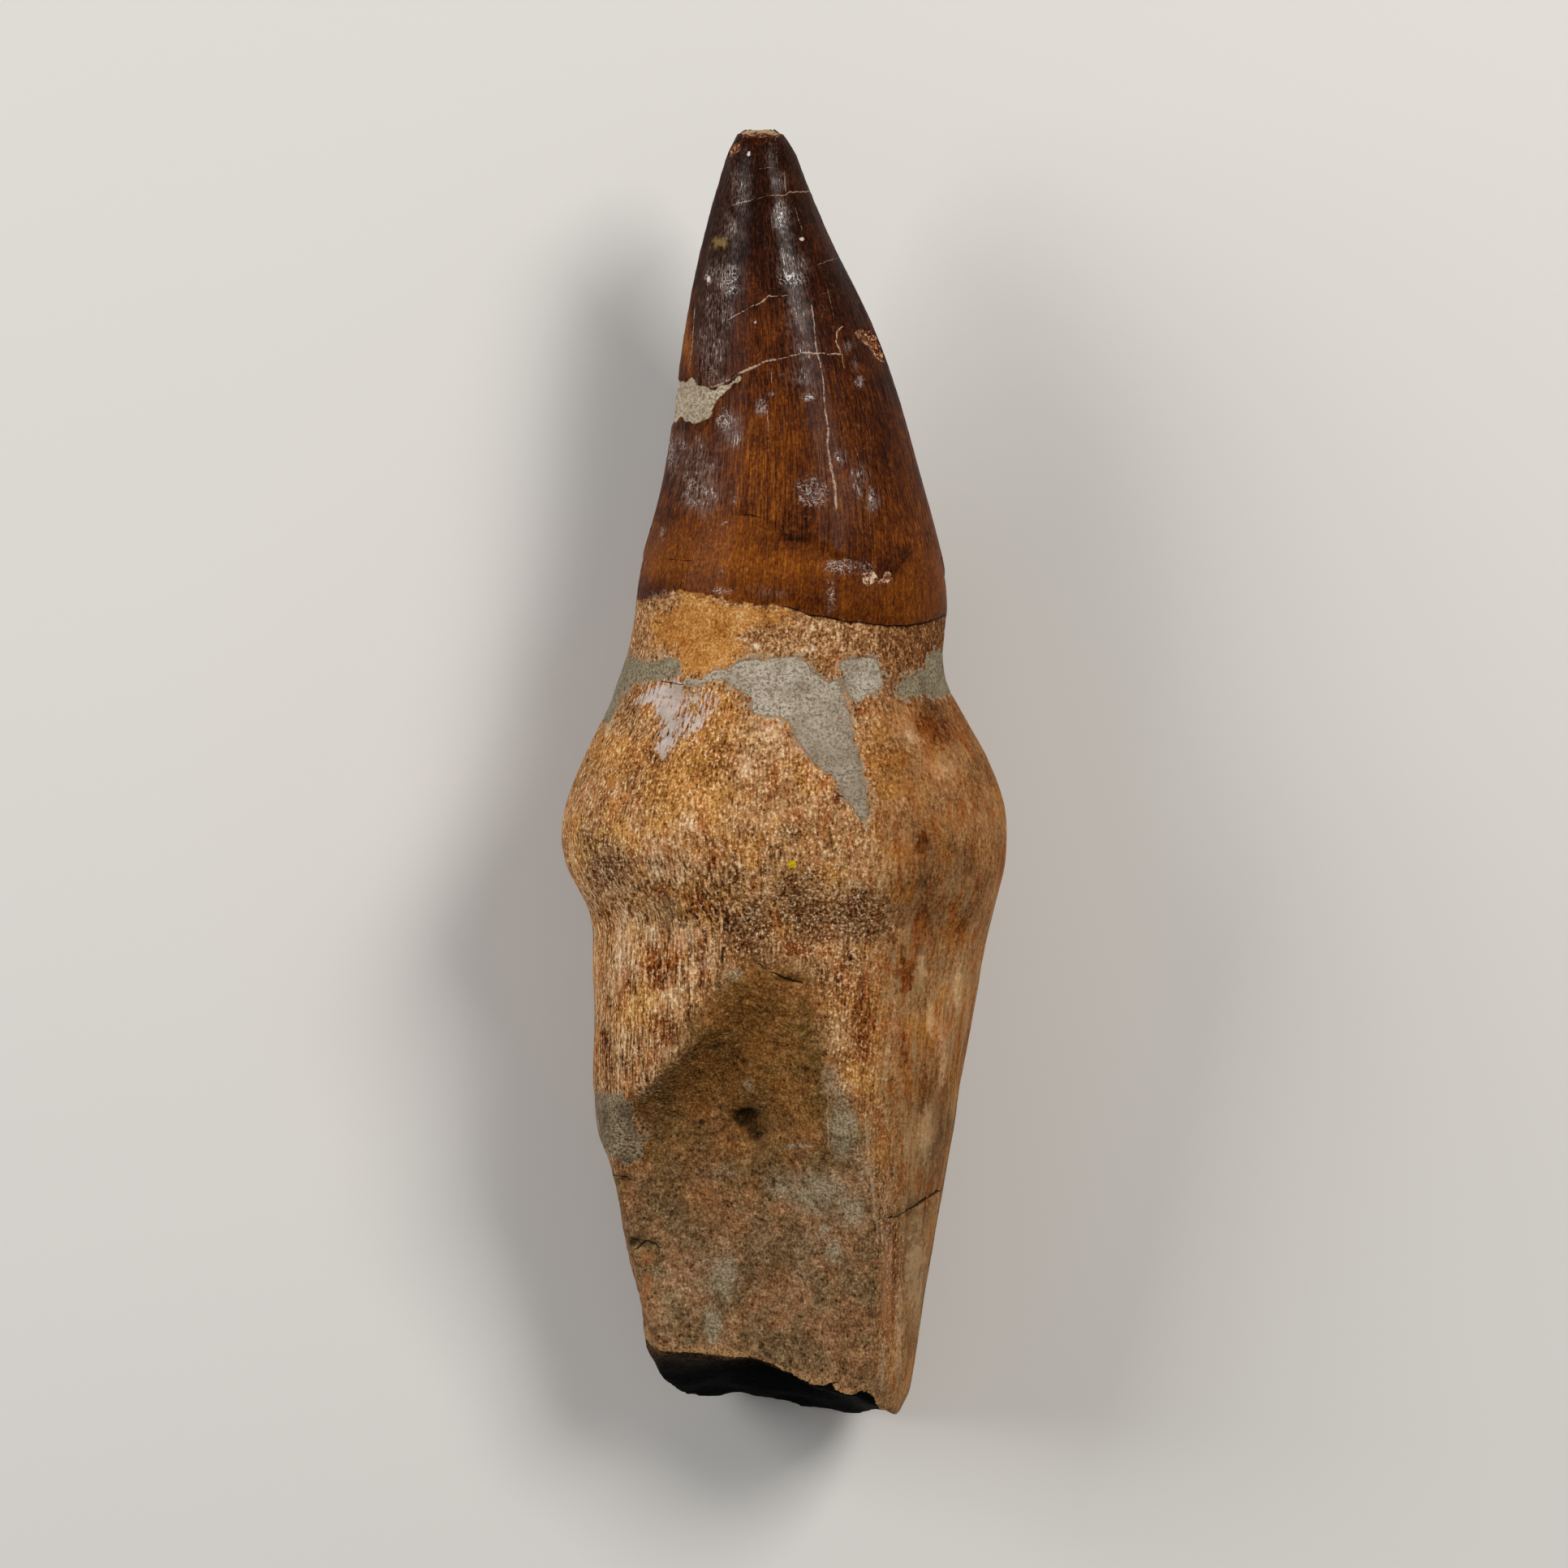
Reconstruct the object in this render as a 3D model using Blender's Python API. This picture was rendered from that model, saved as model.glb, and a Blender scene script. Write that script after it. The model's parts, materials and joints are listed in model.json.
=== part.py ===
"""A rooted mosasaur tooth lying on its back, with the putty of old repairs set into it.

Crown and root grew as one piece, so they are one solid. The putty was pressed into chips and joints
later, so each patch of it is a solid of its own, bedded in a shallow pocket of the tooth. The tip
points to +Y, the hollowed side of the root faces up, and the tooth rests on the flats of its back.
"""

import math

import bmesh
import bpy
from mathutils import Vector, noise

MM = 0.001

# Driving sizes, in millimetres; MIDDLE is how far from the tip's place the origin lies
MIDDLE = 52.87
FILLER_DEPTH = 1.2
GAP = 0.3

# Stations of the outline seen from above: distance from the tip, left edge, right edge
OUTLINE = (
    (0.0, -3.0, -0.8),
    (0.95, -3.5, -0.3),
    (1.9, -4.2, 0.4),
    (2.8, -4.5, 0.95),
    (9.4, -6.4, 3.7),
    (15.9, -7.8, 6.9),
    (22.5, -8.7, 9.3),
    (29.0, -9.7, 11.2),
    (35.6, -11.5, 12.8),
    (39.5, -12.0, 13.2),
    (42.2, -12.5, 12.9),
    (44.8, -13.4, 13.1),
    (47.4, -14.4, 14.4),
    (50.0, -15.7, 15.8),
    (52.7, -16.9, 17.0),
    (55.3, -17.8, 17.8),
    (57.9, -18.1, 18.0),
    (60.5, -17.2, 17.7),
    (62.5, -16.1, 17.2),
    (64.5, -15.3, 16.7),
    (66.4, -15.5, 16.1),
    (72.3, -15.3, 15.1),
    (78.9, -15.2, 14.1),
    (82.2, -14.8, 13.5),
    (84.1, -13.9, 13.1),
    (88.1, -13.2, 12.5),
    (92.0, -12.3, 11.9),
    (94.6, -11.7, 11.4),
    (97.9, -11.4, 11.0),
    (104.1, -10.2, 10.0),
)

# Stations of the profile seen from the side: distance from the tip, back, widest level, front
PROFILE = (
    (0.0, 16.6, 18.3, 20.0),
    (2.8, 15.6, 18.1, 20.7),
    (9.4, 12.4, 17.1, 21.8),
    (20.0, 8.6, 15.8, 23.1),
    (30.0, 5.9, 15.0, 24.1),
    (37.0, 4.3, 14.6, 24.7),
    (42.2, 3.9, 14.2, 24.6),
    (47.4, 2.3, 14.0, 26.2),
    (52.7, 0.3, 14.0, 28.5),
    (57.5, -0.4, 14.0, 29.4),
    (61.0, -0.1, 13.9, 28.8),
    (64.0, 0.8, 13.7, 27.4),
    (67.0, 1.3, 13.5, 26.9),
    (73.0, 1.7, 13.2, 26.5),
    (80.0, 1.5, 12.8, 25.6),
    (88.0, 0.7, 12.2, 24.4),
    (97.0, -0.4, 11.8, 23.2),
    (104.1, 0.1, 11.4, 22.2),
)

# How square the section is: distance from the tip, exponent of the superellipse (2 is an ellipse)
SQUARENESS = (
    (0.0, 2.0),
    (20.0, 1.9),
    (38.0, 2.0),
    (57.0, 2.15),
    (80.0, 2.3),
    (104.1, 2.25),
)

# The keels down both edges of the crown: height, half-width in radians, where they fade out
KEEL_HEIGHT = 0.35
KEEL_WIDTH = 0.2
KEEL_END = 38.0
KEEL_FADE = 6.0

# The flat of the worn tip leans towards the front
TIP_LEAN = 0.36
TIP_EDGE = 0.95

# The break across the end of the root: side, how far from the tip it is at one level, and how much
# it leans to the back there
BREAK_LINE = (
    (-11.0, 97.9, 0.40),
    (-9.0, 98.4, 0.36),
    (-7.4, 99.0, 0.31),
    (-5.8, 99.7, 0.255),
    (-4.2, 100.2, 0.21),
    (-1.5, 100.9, 0.175),
    (1.5, 101.7, 0.163),
    (3.6, 102.25, 0.15),
    (5.2, 102.7, 0.14),
    (8.2, 103.2, 0.12),
    (11.0, 103.9, 0.06),
)
BREAK_LEVEL = 18.0
BREAK_MIDDLE = 101.1
BREAK_RIM = 2.4
BREAK_RIM_ROUND = 0.07
PULP_DEPTH = 4.5
PULP_SPREAD = 0.45
BREAK_ROUGHNESS = 0.55
BREAK_GRAIN = 0.32
BREAK_SEED = Vector((3.0, 7.0, 1.0))

# The hollow that a replacement tooth left in the front of the root: its outline as (side, distance
# from the tip), the level of its floor down the middle, and its walls
HOLLOW_OUTLINE = (
    (-2.0, 67.4),
    (1.2, 68.6),
    (3.9, 72.0),
    (5.2, 76.3),
    (6.3, 81.5),
    (7.5, 84.8),
    (7.9, 89.4),
    (7.9, 95.9),
    (8.3, 108.0),
    (-22.0, 108.0),
    (-22.0, 82.0),
    (-14.9, 80.2),
    (-12.5, 78.4),
    (-10.9, 77.2),
    (-8.6, 75.5),
    (-6.6, 73.1),
    (-4.3, 70.0),
)
HOLLOW_FLOOR = (
    (67.4, 25.9),
    (72.0, 24.4),
    (77.0, 22.6),
    (81.0, 21.2),
    (86.0, 19.8),
    (93.0, 18.4),
    (104.1, 16.8),
)
HOLLOW_WALL_LEFT = 4.0
HOLLOW_WALL_RIGHT = 5.0
HOLLOW_WALL_BLEND = 6.0
HOLLOW_RISE = 1.4
HOLLOW_TILT = 0.36
HOLLOW_CUP = 0.012
HOLLOW_MIDDLE = -1.5
HOLLOW_ROUGHNESS = 0.4
HOLLOW_ROUGH_FADE = 2.0
HOLLOW_GRAIN = 0.3
HOLLOW_LEFT, HOLLOW_RIGHT = -19.0, 11.0
HOLLOW_START, HOLLOW_END = 65.0, 108.0
HOLLOW_STEP = 1.5

# Dents in the floor of the hollow, and dents and lumps of the outside:
# side, distance from the tip, reach, height (a dent's is below 0)
HOLLOW_DENTS = (
    (-2.7, 80.4, 1.6, -1.5),
    (-13.0, 85.3, 1.5, -1.2),
    (-11.9, 92.6, 1.6, -1.3),
)
DENTS = (
    (-12.5, 63.8, 3.0, -0.5),
    (1.0, 64.2, 4.0, -0.5),
    (-10.5, 57.5, 5.0, 0.5),
    (9.5, 57.0, 6.0, 0.5),
    (7.0, 36.2, 1.6, -0.35),
)

# Slow unevenness of the bone and of the enamel
BONE_WAVE = 0.32
WAVE_PITCH = 9.0
ENAMEL_WAVE = 0.1
ENAMEL_END = 40.0
ENAMEL_FADE = 6.0
WAVE_SEED = Vector((11.0, 2.0, 5.0))

# Putty patches seen from above, as (side, distance from the tip)
CROWN_FILLER = (
    (-10.5, 20.1), (-8.4, 20.3), (-6.9, 20.8), (-5.7, 20.9), (-4.2, 20.3), (-4.2, 21.7),
    (-5.3, 22.6), (-6.2, 23.7), (-7.6, 24.1), (-10.5, 23.9),
)
NECK_FILLER_FRONT = (
    (-6.4, 44.5), (-4.0, 43.9), (-2.4, 43.3), (-0.5, 43.1), (1.3, 43.4), (2.9, 44.1),
    (4.2, 45.2), (4.9, 46.2), (5.2, 48.1), (5.9, 51.3), (6.6, 54.3), (6.3, 55.5),
    (5.2, 53.4), (3.2, 51.7), (2.2, 50.4), (1.3, 48.7), (0.1, 47.7), (-1.7, 47.4),
    (-3.0, 46.5), (-4.0, 45.4), (-5.3, 45.3),
)
NECK_FILLER_SMALL = (
    (5.3, 43.5), (6.0, 42.8), (7.2, 42.8), (7.8, 43.9), (8.2, 44.8), (7.3, 45.4),
    (6.3, 46.4), (5.6, 45.8), (5.1, 44.7),
)
NECK_FILLER_RIGHT = (
    (15.5, 41.6), (12.3, 42.5), (12.0, 44.0), (10.2, 44.7), (9.1, 45.6), (10.5, 45.9),
    (11.7, 46.3), (12.7, 46.0), (15.5, 45.4),
)
NECK_FILLER_LEFT = (
    (-15.5, 41.6), (-12.3, 42.3), (-10.6, 42.9), (-8.8, 43.0), (-8.6, 44.1), (-10.1, 44.7),
    (-11.9, 45.5), (-13.2, 46.8), (-14.3, 49.2), (-16.8, 49.6),
)
ROOT_FILLER = (
    (-17.0, 78.0), (-14.0, 78.4), (-13.0, 79.0), (-12.7, 80.1), (-11.2, 81.0), (-10.7, 81.8),
    (-11.2, 83.1), (-11.9, 84.0), (-13.0, 83.6), (-13.9, 82.8), (-14.6, 81.6), (-17.0, 81.0),
)
# Each patch's outline, and how far down the flank it reaches
FILLERS = {
    "crown_filler": (CROWN_FILLER, 13.5),
    "neck_filler_front": (NECK_FILLER_FRONT, 18.0),
    "neck_filler_small": (NECK_FILLER_SMALL, 18.0),
    "neck_filler_right": (NECK_FILLER_RIGHT, 11.0),
    "neck_filler_left": (NECK_FILLER_LEFT, 10.5),
    "root_filler": (ROOT_FILLER, 9.5),
}

# How high the cutters reach
FILLER_TOP = 36.0
HOLLOW_TOP = 40.0

# How finely the tooth is divided: round the section, over the tip, down the side, over the break
COLUMNS = 56
TIP_ROWS = 3
SIDE_ROWS = 54
BREAK_ROWS = 6

# Colours (linear), roughness
FOSSIL = ((0.33, 0.19, 0.09, 1.0), 0.6)
PUTTY = ((0.42, 0.39, 0.32, 1.0), 0.85)


def smooth_value(rows, at, column=1):
    """The value of a column at a station, on a smooth curve through the rows."""
    if at <= rows[0][0]:
        return rows[0][column]
    if at >= rows[-1][0]:
        return rows[-1][column]
    after = next(i for i, row in enumerate(rows) if row[0] > at)
    before = after - 1

    def slope(i):
        low, high = max(i - 1, 0), min(i + 1, len(rows) - 1)
        return (rows[high][column] - rows[low][column]) / (rows[high][0] - rows[low][0])

    span = rows[after][0] - rows[before][0]
    t = (at - rows[before][0]) / span
    start, end = rows[before][column], rows[after][column]
    return (
        start * (1 + 2 * t) * (1 - t) ** 2
        + end * t * t * (3 - 2 * t)
        + span * slope(before) * t * (1 - t) ** 2
        - span * slope(after) * t * t * (1 - t)
    )


def ease(x):
    """0 below 0 and 1 above 1, with a smooth rise between."""
    x = min(max(x, 0.0), 1.0)
    return x * x * (3 - 2 * x)


def depth_inside(x, y, outline):
    """How far a point lies inside a closed outline; negative outside."""
    nearest, inside = math.inf, False
    for (ax, ay), (bx, by) in zip(outline, outline[1:] + outline[:1]):
        dx, dy = bx - ax, by - ay
        along = ((x - ax) * dx + (y - ay) * dy) / (dx * dx + dy * dy)
        along = min(max(along, 0.0), 1.0)
        nearest = min(nearest, math.hypot(x - ax - along * dx, y - ay - along * dy))
        if (ay > y) != (by > y) and x < ax + (y - ay) / dy * dx:
            inside = not inside
    return nearest if inside else -nearest


def section_point(from_tip, angle, inset):
    """A point on the section at a station: angle 0 is right, a quarter turn is front."""
    left = smooth_value(OUTLINE, from_tip, 1) + inset
    right = smooth_value(OUTLINE, from_tip, 2) - inset
    back = smooth_value(PROFILE, from_tip, 1) + inset
    level = smooth_value(PROFILE, from_tip, 2)
    front = smooth_value(PROFILE, from_tip, 3) - inset
    power = 2 / smooth_value(SQUARENESS, from_tip)
    across, up = math.cos(angle), math.sin(angle)
    keel = KEEL_HEIGHT * ease((KEEL_END - from_tip) / KEEL_FADE) * ease(from_tip / KEEL_FADE)
    flank = 1 - math.exp(-((math.asin(min(abs(up), 1.0)) / KEEL_WIDTH) ** 2))
    half_width = (right - left) / 2 - keel * flank
    x = (left + right) / 2 + math.copysign(abs(across) ** power, across) * half_width
    reach = front - level if up > 0 else level - back
    z = level + math.copysign(abs(up) ** power, up) * reach
    return x, z


def tip_place(z, inset):
    """Distance from the tip at which the worn flat lies, for a height."""
    level = smooth_value(PROFILE, 0.0, 2)
    return TIP_EDGE + inset + TIP_LEAN * (z - level)


def break_place(x, z, inset):
    """Distance from the tip at which the root is broken off, for a side and a height."""
    ragged = noise.noise(Vector((x, 0.0, z)) * BREAK_GRAIN + BREAK_SEED)
    place = smooth_value(BREAK_LINE, x, 1) + smooth_value(BREAK_LINE, x, 2) * (BREAK_LEVEL - z)
    return place + BREAK_ROUGHNESS * ragged - inset


def front_height(x, from_tip):
    """The height of the front of the tooth over a point, before the hollow is cut into it."""
    left, right = smooth_value(OUTLINE, from_tip, 1), smooth_value(OUTLINE, from_tip, 2)
    level, front = smooth_value(PROFILE, from_tip, 2), smooth_value(PROFILE, from_tip, 3)
    power = smooth_value(SQUARENESS, from_tip)
    out = min(abs(x - (left + right) / 2) / ((right - left) / 2), 1.0)
    return level + (front - level) * (1 - out ** power) ** (1 / power)


def bumps(x, from_tip, places):
    """The height that a list of dents and lumps adds at a point."""
    return sum(
        height * math.exp(-(math.hypot(x - side, from_tip - place) / reach) ** 2)
        for side, place, reach, height in places
    )


def hollow_height(x, from_tip, inset):
    """The height of the hollow's surface: its floor inside the outline, rising steeply past it."""
    depth = depth_inside(x, from_tip, HOLLOW_OUTLINE)
    front = front_height(x, from_tip)
    if depth < 0:
        return front - HOLLOW_RISE * depth - inset
    aside = x - HOLLOW_MIDDLE
    floor = smooth_value(HOLLOW_FLOOR, from_tip) + HOLLOW_TILT * aside + HOLLOW_CUP * aside * aside
    wall = HOLLOW_WALL_LEFT + (HOLLOW_WALL_RIGHT - HOLLOW_WALL_LEFT) * ease(aside / HOLLOW_WALL_BLEND + 0.5)
    height = front + (floor - front) * (1 - (1 - min(depth / wall, 1)) ** 2)
    rough = noise.noise(Vector((x, from_tip, 0.0)) * HOLLOW_GRAIN) * HOLLOW_ROUGHNESS
    return height + rough * ease(depth / HOLLOW_ROUGH_FADE) + bumps(x, from_tip, HOLLOW_DENTS) - inset


def uneven(point, normal_angle, from_tip):
    """How far the surface stands out here, from the slow unevenness of bone and enamel."""
    wave = noise.noise(point / WAVE_PITCH + WAVE_SEED)
    height = ENAMEL_WAVE + (BONE_WAVE - ENAMEL_WAVE) * ease((from_tip - ENAMEL_END) / ENAMEL_FADE)
    return Vector((math.cos(normal_angle), 0.0, math.sin(normal_angle))) * wave * height


def side_point(share, angle, inset):
    """A point on the side of the tooth, a share of the way from the tip's flat to the break."""
    x, z = section_point(0.0, angle, inset)
    start = max(tip_place(z, inset), 0.0)
    x, z = section_point(BREAK_MIDDLE, angle, inset)
    end = break_place(x, z, inset)
    from_tip = start + (end - start) * share
    x, z = section_point(from_tip, angle, inset)
    rim = 1 - BREAK_RIM_ROUND * max(0.0, 1 - (end - from_tip) / BREAK_RIM) ** 2
    level = smooth_value(PROFILE, from_tip, 2)
    x, z = x * rim, level + (z - level) * rim
    if angle < math.pi:
        z += bumps(x, from_tip, DENTS)
    point = Vector((x, from_tip, z))
    return point + uneven(point, angle, from_tip)


def tooth_point(row, angle, inset):
    """A point of the surface: the rows go over the tip, down the side and over the break."""
    if row < TIP_ROWS:
        edge = side_point(0.0, angle, inset)
        middle = (side_point(0.0, 0.0, inset) + side_point(0.0, math.pi, inset)) / 2
        point = middle.lerp(edge, row / TIP_ROWS)
        point.y = tip_place(point.z, inset)
        return point
    row -= TIP_ROWS
    if row <= SIDE_ROWS:
        return side_point(row / SIDE_ROWS, angle, inset)
    out = 1 - (row - SIDE_ROWS) / BREAK_ROWS
    edge = side_point(1.0, angle, inset)
    across = (side_point(1.0, 0.0, inset) + side_point(1.0, math.pi, inset)) / 2
    upright = (side_point(1.0, math.pi / 2, inset) + side_point(1.0, math.pi * 1.5, inset)) / 2
    middle = Vector((across.x, 0.0, upright.z))
    point = middle.lerp(edge, out)
    pulp = PULP_DEPTH * math.exp(-((out / PULP_SPREAD) ** 2))
    point.y = break_place(point.x, point.z, inset) - pulp
    return point


def tooth_surface(name, inset):
    """The tooth without its hollow as a closed mesh: a grid wrapped round it, closed at both ends."""
    rows = TIP_ROWS + SIDE_ROWS + BREAK_ROWS
    shape = bmesh.new()
    bmesh.ops.create_grid(shape, x_segments=COLUMNS, y_segments=rows, size=0.5)
    for vert in shape.verts:
        column = round((vert.co.x + 0.5) * COLUMNS) % COLUMNS
        row = round((vert.co.y + 0.5) * rows)
        point = tooth_point(row, math.tau * column / COLUMNS, inset)
        vert.co = Vector((point.x, MIDDLE - point.y, point.z)) * MM
    bmesh.ops.remove_doubles(shape, verts=shape.verts, dist=1e-6)
    bmesh.ops.recalc_face_normals(shape, faces=shape.faces)
    level = Vector((0.0, 0.0, inset * MM))
    whole = shape.verts[:] + shape.edges[:] + shape.faces[:]
    cut = bmesh.ops.bisect_plane(
        shape, geom=whole, dist=1e-7, plane_co=level, plane_no=(0, 0, -1), clear_outer=True
    )
    rims = [item for item in cut["geom_cut"] if isinstance(item, bmesh.types.BMEdge)]
    bmesh.ops.holes_fill(shape, edges=rims)
    mesh = bpy.data.meshes.new(name)
    shape.to_mesh(mesh)
    shape.free()
    return mesh


def hollow_cutter(name, inset):
    """A block whose underside is the surface of the hollow, lowered by the inset."""
    across = round((HOLLOW_RIGHT - HOLLOW_LEFT) / HOLLOW_STEP)
    along = round((HOLLOW_END - HOLLOW_START) / HOLLOW_STEP)
    shape = bmesh.new()
    bmesh.ops.create_grid(shape, x_segments=across, y_segments=along, size=0.5)
    under = shape.faces[:]
    for vert in shape.verts:
        x = HOLLOW_LEFT + (vert.co.x + 0.5) * (HOLLOW_RIGHT - HOLLOW_LEFT)
        from_tip = HOLLOW_START + (vert.co.y + 0.5) * (HOLLOW_END - HOLLOW_START)
        height = hollow_height(x, from_tip, inset)
        vert.co = Vector((x, MIDDLE - from_tip, height)) * MM
    block = bmesh.ops.extrude_face_region(shape, geom=under)
    for item in block["geom"]:
        if isinstance(item, bmesh.types.BMVert):
            item.co.z = HOLLOW_TOP * MM
    bmesh.ops.recalc_face_normals(shape, faces=shape.faces)
    mesh = bpy.data.meshes.new(name)
    shape.to_mesh(mesh)
    shape.free()
    return mesh


def prism(name, outline, low, shrink):
    """An upright block over an outline, drawn in by a margin on every side."""
    shape = bmesh.new()
    verts = [shape.verts.new((x * MM, (MIDDLE - from_tip) * MM, low * MM)) for x, from_tip in outline]
    face = shape.faces.new(verts)
    if shrink:
        bmesh.ops.inset_region(shape, faces=[face], thickness=shrink * MM, use_even_offset=True)
        rim = [other for other in shape.faces if other != face]
        bmesh.ops.delete(shape, geom=rim, context="FACES")
    block = bmesh.ops.extrude_face_region(shape, geom=[face])
    lifted = [item for item in block["geom"] if isinstance(item, bmesh.types.BMVert)]
    bmesh.ops.translate(shape, verts=lifted, vec=(0, 0, (FILLER_TOP - low) * MM))
    bmesh.ops.recalc_face_normals(shape, faces=shape.faces)
    mesh = bpy.data.meshes.new(name)
    shape.to_mesh(mesh)
    shape.free()
    return mesh


def new_collection(name):
    collection = bpy.data.collections.new(name)
    bpy.context.scene.collection.children.link(collection)
    return collection


def new_material(name, colour, roughness):
    material = bpy.data.materials.new(name)
    material.use_nodes = True
    shader = material.node_tree.nodes["Principled BSDF"]
    shader.inputs["Base Color"].default_value = colour
    shader.inputs["Roughness"].default_value = roughness
    return material


def new_object(mesh, collection, material=None):
    """An object for a mesh; one with no material is a cutter."""
    made = bpy.data.objects.new(mesh.name, mesh)
    collection.objects.link(made)
    if material is None:
        made.hide_render = True
        made.display_type = "WIRE"
    else:
        mesh.materials.append(material)
        mesh.shade_smooth()
    return made


def add_boolean(made, other, operation):
    cut = made.modifiers.new(f"{operation.lower()}_{other.name}", "BOOLEAN")
    cut.object = other
    cut.operation = operation


def hollowed_tooth(name, inset, collection, cutters, material=None):
    """The tooth with its hollow cut, every surface drawn in by the inset."""
    made = new_object(tooth_surface(name, inset), collection, material)
    hollow = new_object(hollow_cutter(f"hollow_{name}", inset), cutters)
    add_boolean(made, hollow, "DIFFERENCE")
    return made


def main():
    for old in list(bpy.data.objects):
        bpy.data.objects.remove(old)
    parts = new_collection("mosasaur_tooth")
    cutters = new_collection("cutters")
    fossil = new_material("fossil", *FOSSIL)
    putty = new_material("putty", *PUTTY)

    tooth = hollowed_tooth("tooth", 0.0, parts, cutters, fossil)
    outside = hollowed_tooth("outside", 0.0, cutters, cutters)
    under_filler = hollowed_tooth("under_filler", FILLER_DEPTH, cutters, cutters)
    under_pocket = hollowed_tooth("under_pocket", FILLER_DEPTH + GAP, cutters, cutters)
    for name, (outline, low) in FILLERS.items():
        pocket = new_object(prism(f"pocket_{name}", outline, low - GAP, 0.0), cutters)
        add_boolean(pocket, under_pocket, "DIFFERENCE")
        add_boolean(tooth, pocket, "DIFFERENCE")
        filler = new_object(prism(name, outline, low, GAP), parts, putty)
        add_boolean(filler, outside, "INTERSECT")
        add_boolean(filler, under_filler, "DIFFERENCE")


main()
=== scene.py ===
"""Looks of a rooted fossil tooth: a glossy brown crown, a golden fibrous root and grey putty repairs.

The solids of the frame are copied, joined to one fine skin and sculpted, and the marks of the surface
are drawn on it as the photograph's camera sees them. The putty patches are thin inlays of that skin.
Lengths are in millimetres until a mesh is written, and pixels are those of the photograph.
"""

import json
import logging
from dataclasses import dataclass, field
from enum import Enum

import bmesh
import bpy
import numpy as np
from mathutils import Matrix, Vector, noise

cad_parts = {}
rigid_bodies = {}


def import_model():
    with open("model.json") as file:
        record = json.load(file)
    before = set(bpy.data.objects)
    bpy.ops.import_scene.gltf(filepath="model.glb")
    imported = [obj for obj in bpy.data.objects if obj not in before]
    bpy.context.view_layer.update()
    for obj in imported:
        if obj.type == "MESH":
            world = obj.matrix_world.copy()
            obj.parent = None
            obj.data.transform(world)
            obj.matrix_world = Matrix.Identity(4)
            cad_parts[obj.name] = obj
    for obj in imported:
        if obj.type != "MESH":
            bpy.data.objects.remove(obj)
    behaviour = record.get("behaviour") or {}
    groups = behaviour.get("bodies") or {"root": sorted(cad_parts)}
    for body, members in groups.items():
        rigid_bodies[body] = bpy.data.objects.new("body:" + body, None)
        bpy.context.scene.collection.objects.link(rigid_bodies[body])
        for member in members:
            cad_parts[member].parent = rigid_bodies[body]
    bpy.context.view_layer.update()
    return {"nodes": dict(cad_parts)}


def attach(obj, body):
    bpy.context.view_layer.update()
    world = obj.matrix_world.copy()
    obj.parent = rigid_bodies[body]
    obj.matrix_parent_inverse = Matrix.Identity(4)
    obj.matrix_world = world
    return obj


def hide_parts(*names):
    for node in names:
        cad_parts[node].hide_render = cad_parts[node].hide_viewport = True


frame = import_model()

LOG = logging.getLogger("tooth")
MM = 0.001

# The photograph: its side in pixels, its scale at the level of the tooth's outline, and its middle
PHOTO_SIDE = 1932
PIXELS_PER_MM = 15.25
PHOTO_LEVEL = 14.0
PHOTO_MIDDLE = (0.03, -0.33)
LENS = 150.0
SENSOR = 36.0
CAMERA_HEIGHT = PHOTO_LEVEL + PHOTO_SIDE / PIXELS_PER_MM * LENS / SENSOR

Points = list[tuple[float, float]]
Socket = bpy.types.NodeSocket
Value = Socket | float
Colour = Socket | tuple[float, float, float, float]
Stops = tuple[tuple[float, str], ...]


def ease(values: np.ndarray, low: float, high: float) -> np.ndarray:
    """A smooth rise from 0 at low to 1 at high.

    Args:
        values: Any numbers.
        low: Where the rise starts; it may be above high.
        high: Where it ends.

    Returns:
        The risen values, from 0 to 1.
    """
    share = np.clip((values - low) / (high - low), 0.0, 1.0)
    return share * share * (3 - 2 * share)


def ripple(points: np.ndarray, sizes: tuple[float, float, float], seed: float) -> np.ndarray:
    """Smooth unevenness at points.

    Args:
        points: Places in millimetres, one a row.
        sizes: How long the waves are along X, Y and Z.
        seed: Moves the pattern.

    Returns:
        A value for each point, about -1 to 1.
    """
    places = points / np.array(sizes) + seed
    return np.array([noise.noise(Vector(place)) for place in places])


def inside(pixels: np.ndarray, outline: Points) -> np.ndarray:
    """How far points lie inside a closed outline.

    Args:
        pixels: Places in the photograph, one a row.
        outline: The outline's corners in pixels.

    Returns:
        The distance of each to the outline in millimetres, negative outside it.
    """
    corners = np.array(outline, float)
    nearest = np.full(len(pixels), np.inf)
    within = np.zeros(len(pixels), bool)
    for start, end in zip(corners, np.roll(corners, -1, axis=0)):
        run = end - start
        away = pixels - start
        along = np.clip(away @ run / (run @ run), 0.0, 1.0)
        nearest = np.minimum(nearest, np.linalg.norm(away - along[:, None] * run, axis=1))
        if run[1] != 0:
            crossed = (start[1] > pixels[:, 1]) != (end[1] > pixels[:, 1])
            within ^= crossed & (pixels[:, 0] < start[0] + away[:, 1] / run[1] * run[0])
    return np.where(within, nearest, -nearest) / PIXELS_PER_MM


@dataclass(frozen=True)
class Blot:
    """A soft round mark.

    Attributes:
        column: Its middle in the photograph.
        row: Its middle in the photograph.
        width: Its reach to each side, in pixels.
        height: Its reach up and down, in pixels.
        strength: Its strength in the middle.
    """

    column: float
    row: float
    width: float
    height: float
    strength: float = 1.0

    def at(self, pixels: np.ndarray) -> np.ndarray:
        """The strength of the mark at places in the photograph."""
        away = (pixels - (self.column, self.row)) / (self.width, self.height)
        return self.strength * np.exp(-(away ** 2).sum(axis=1))


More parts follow.
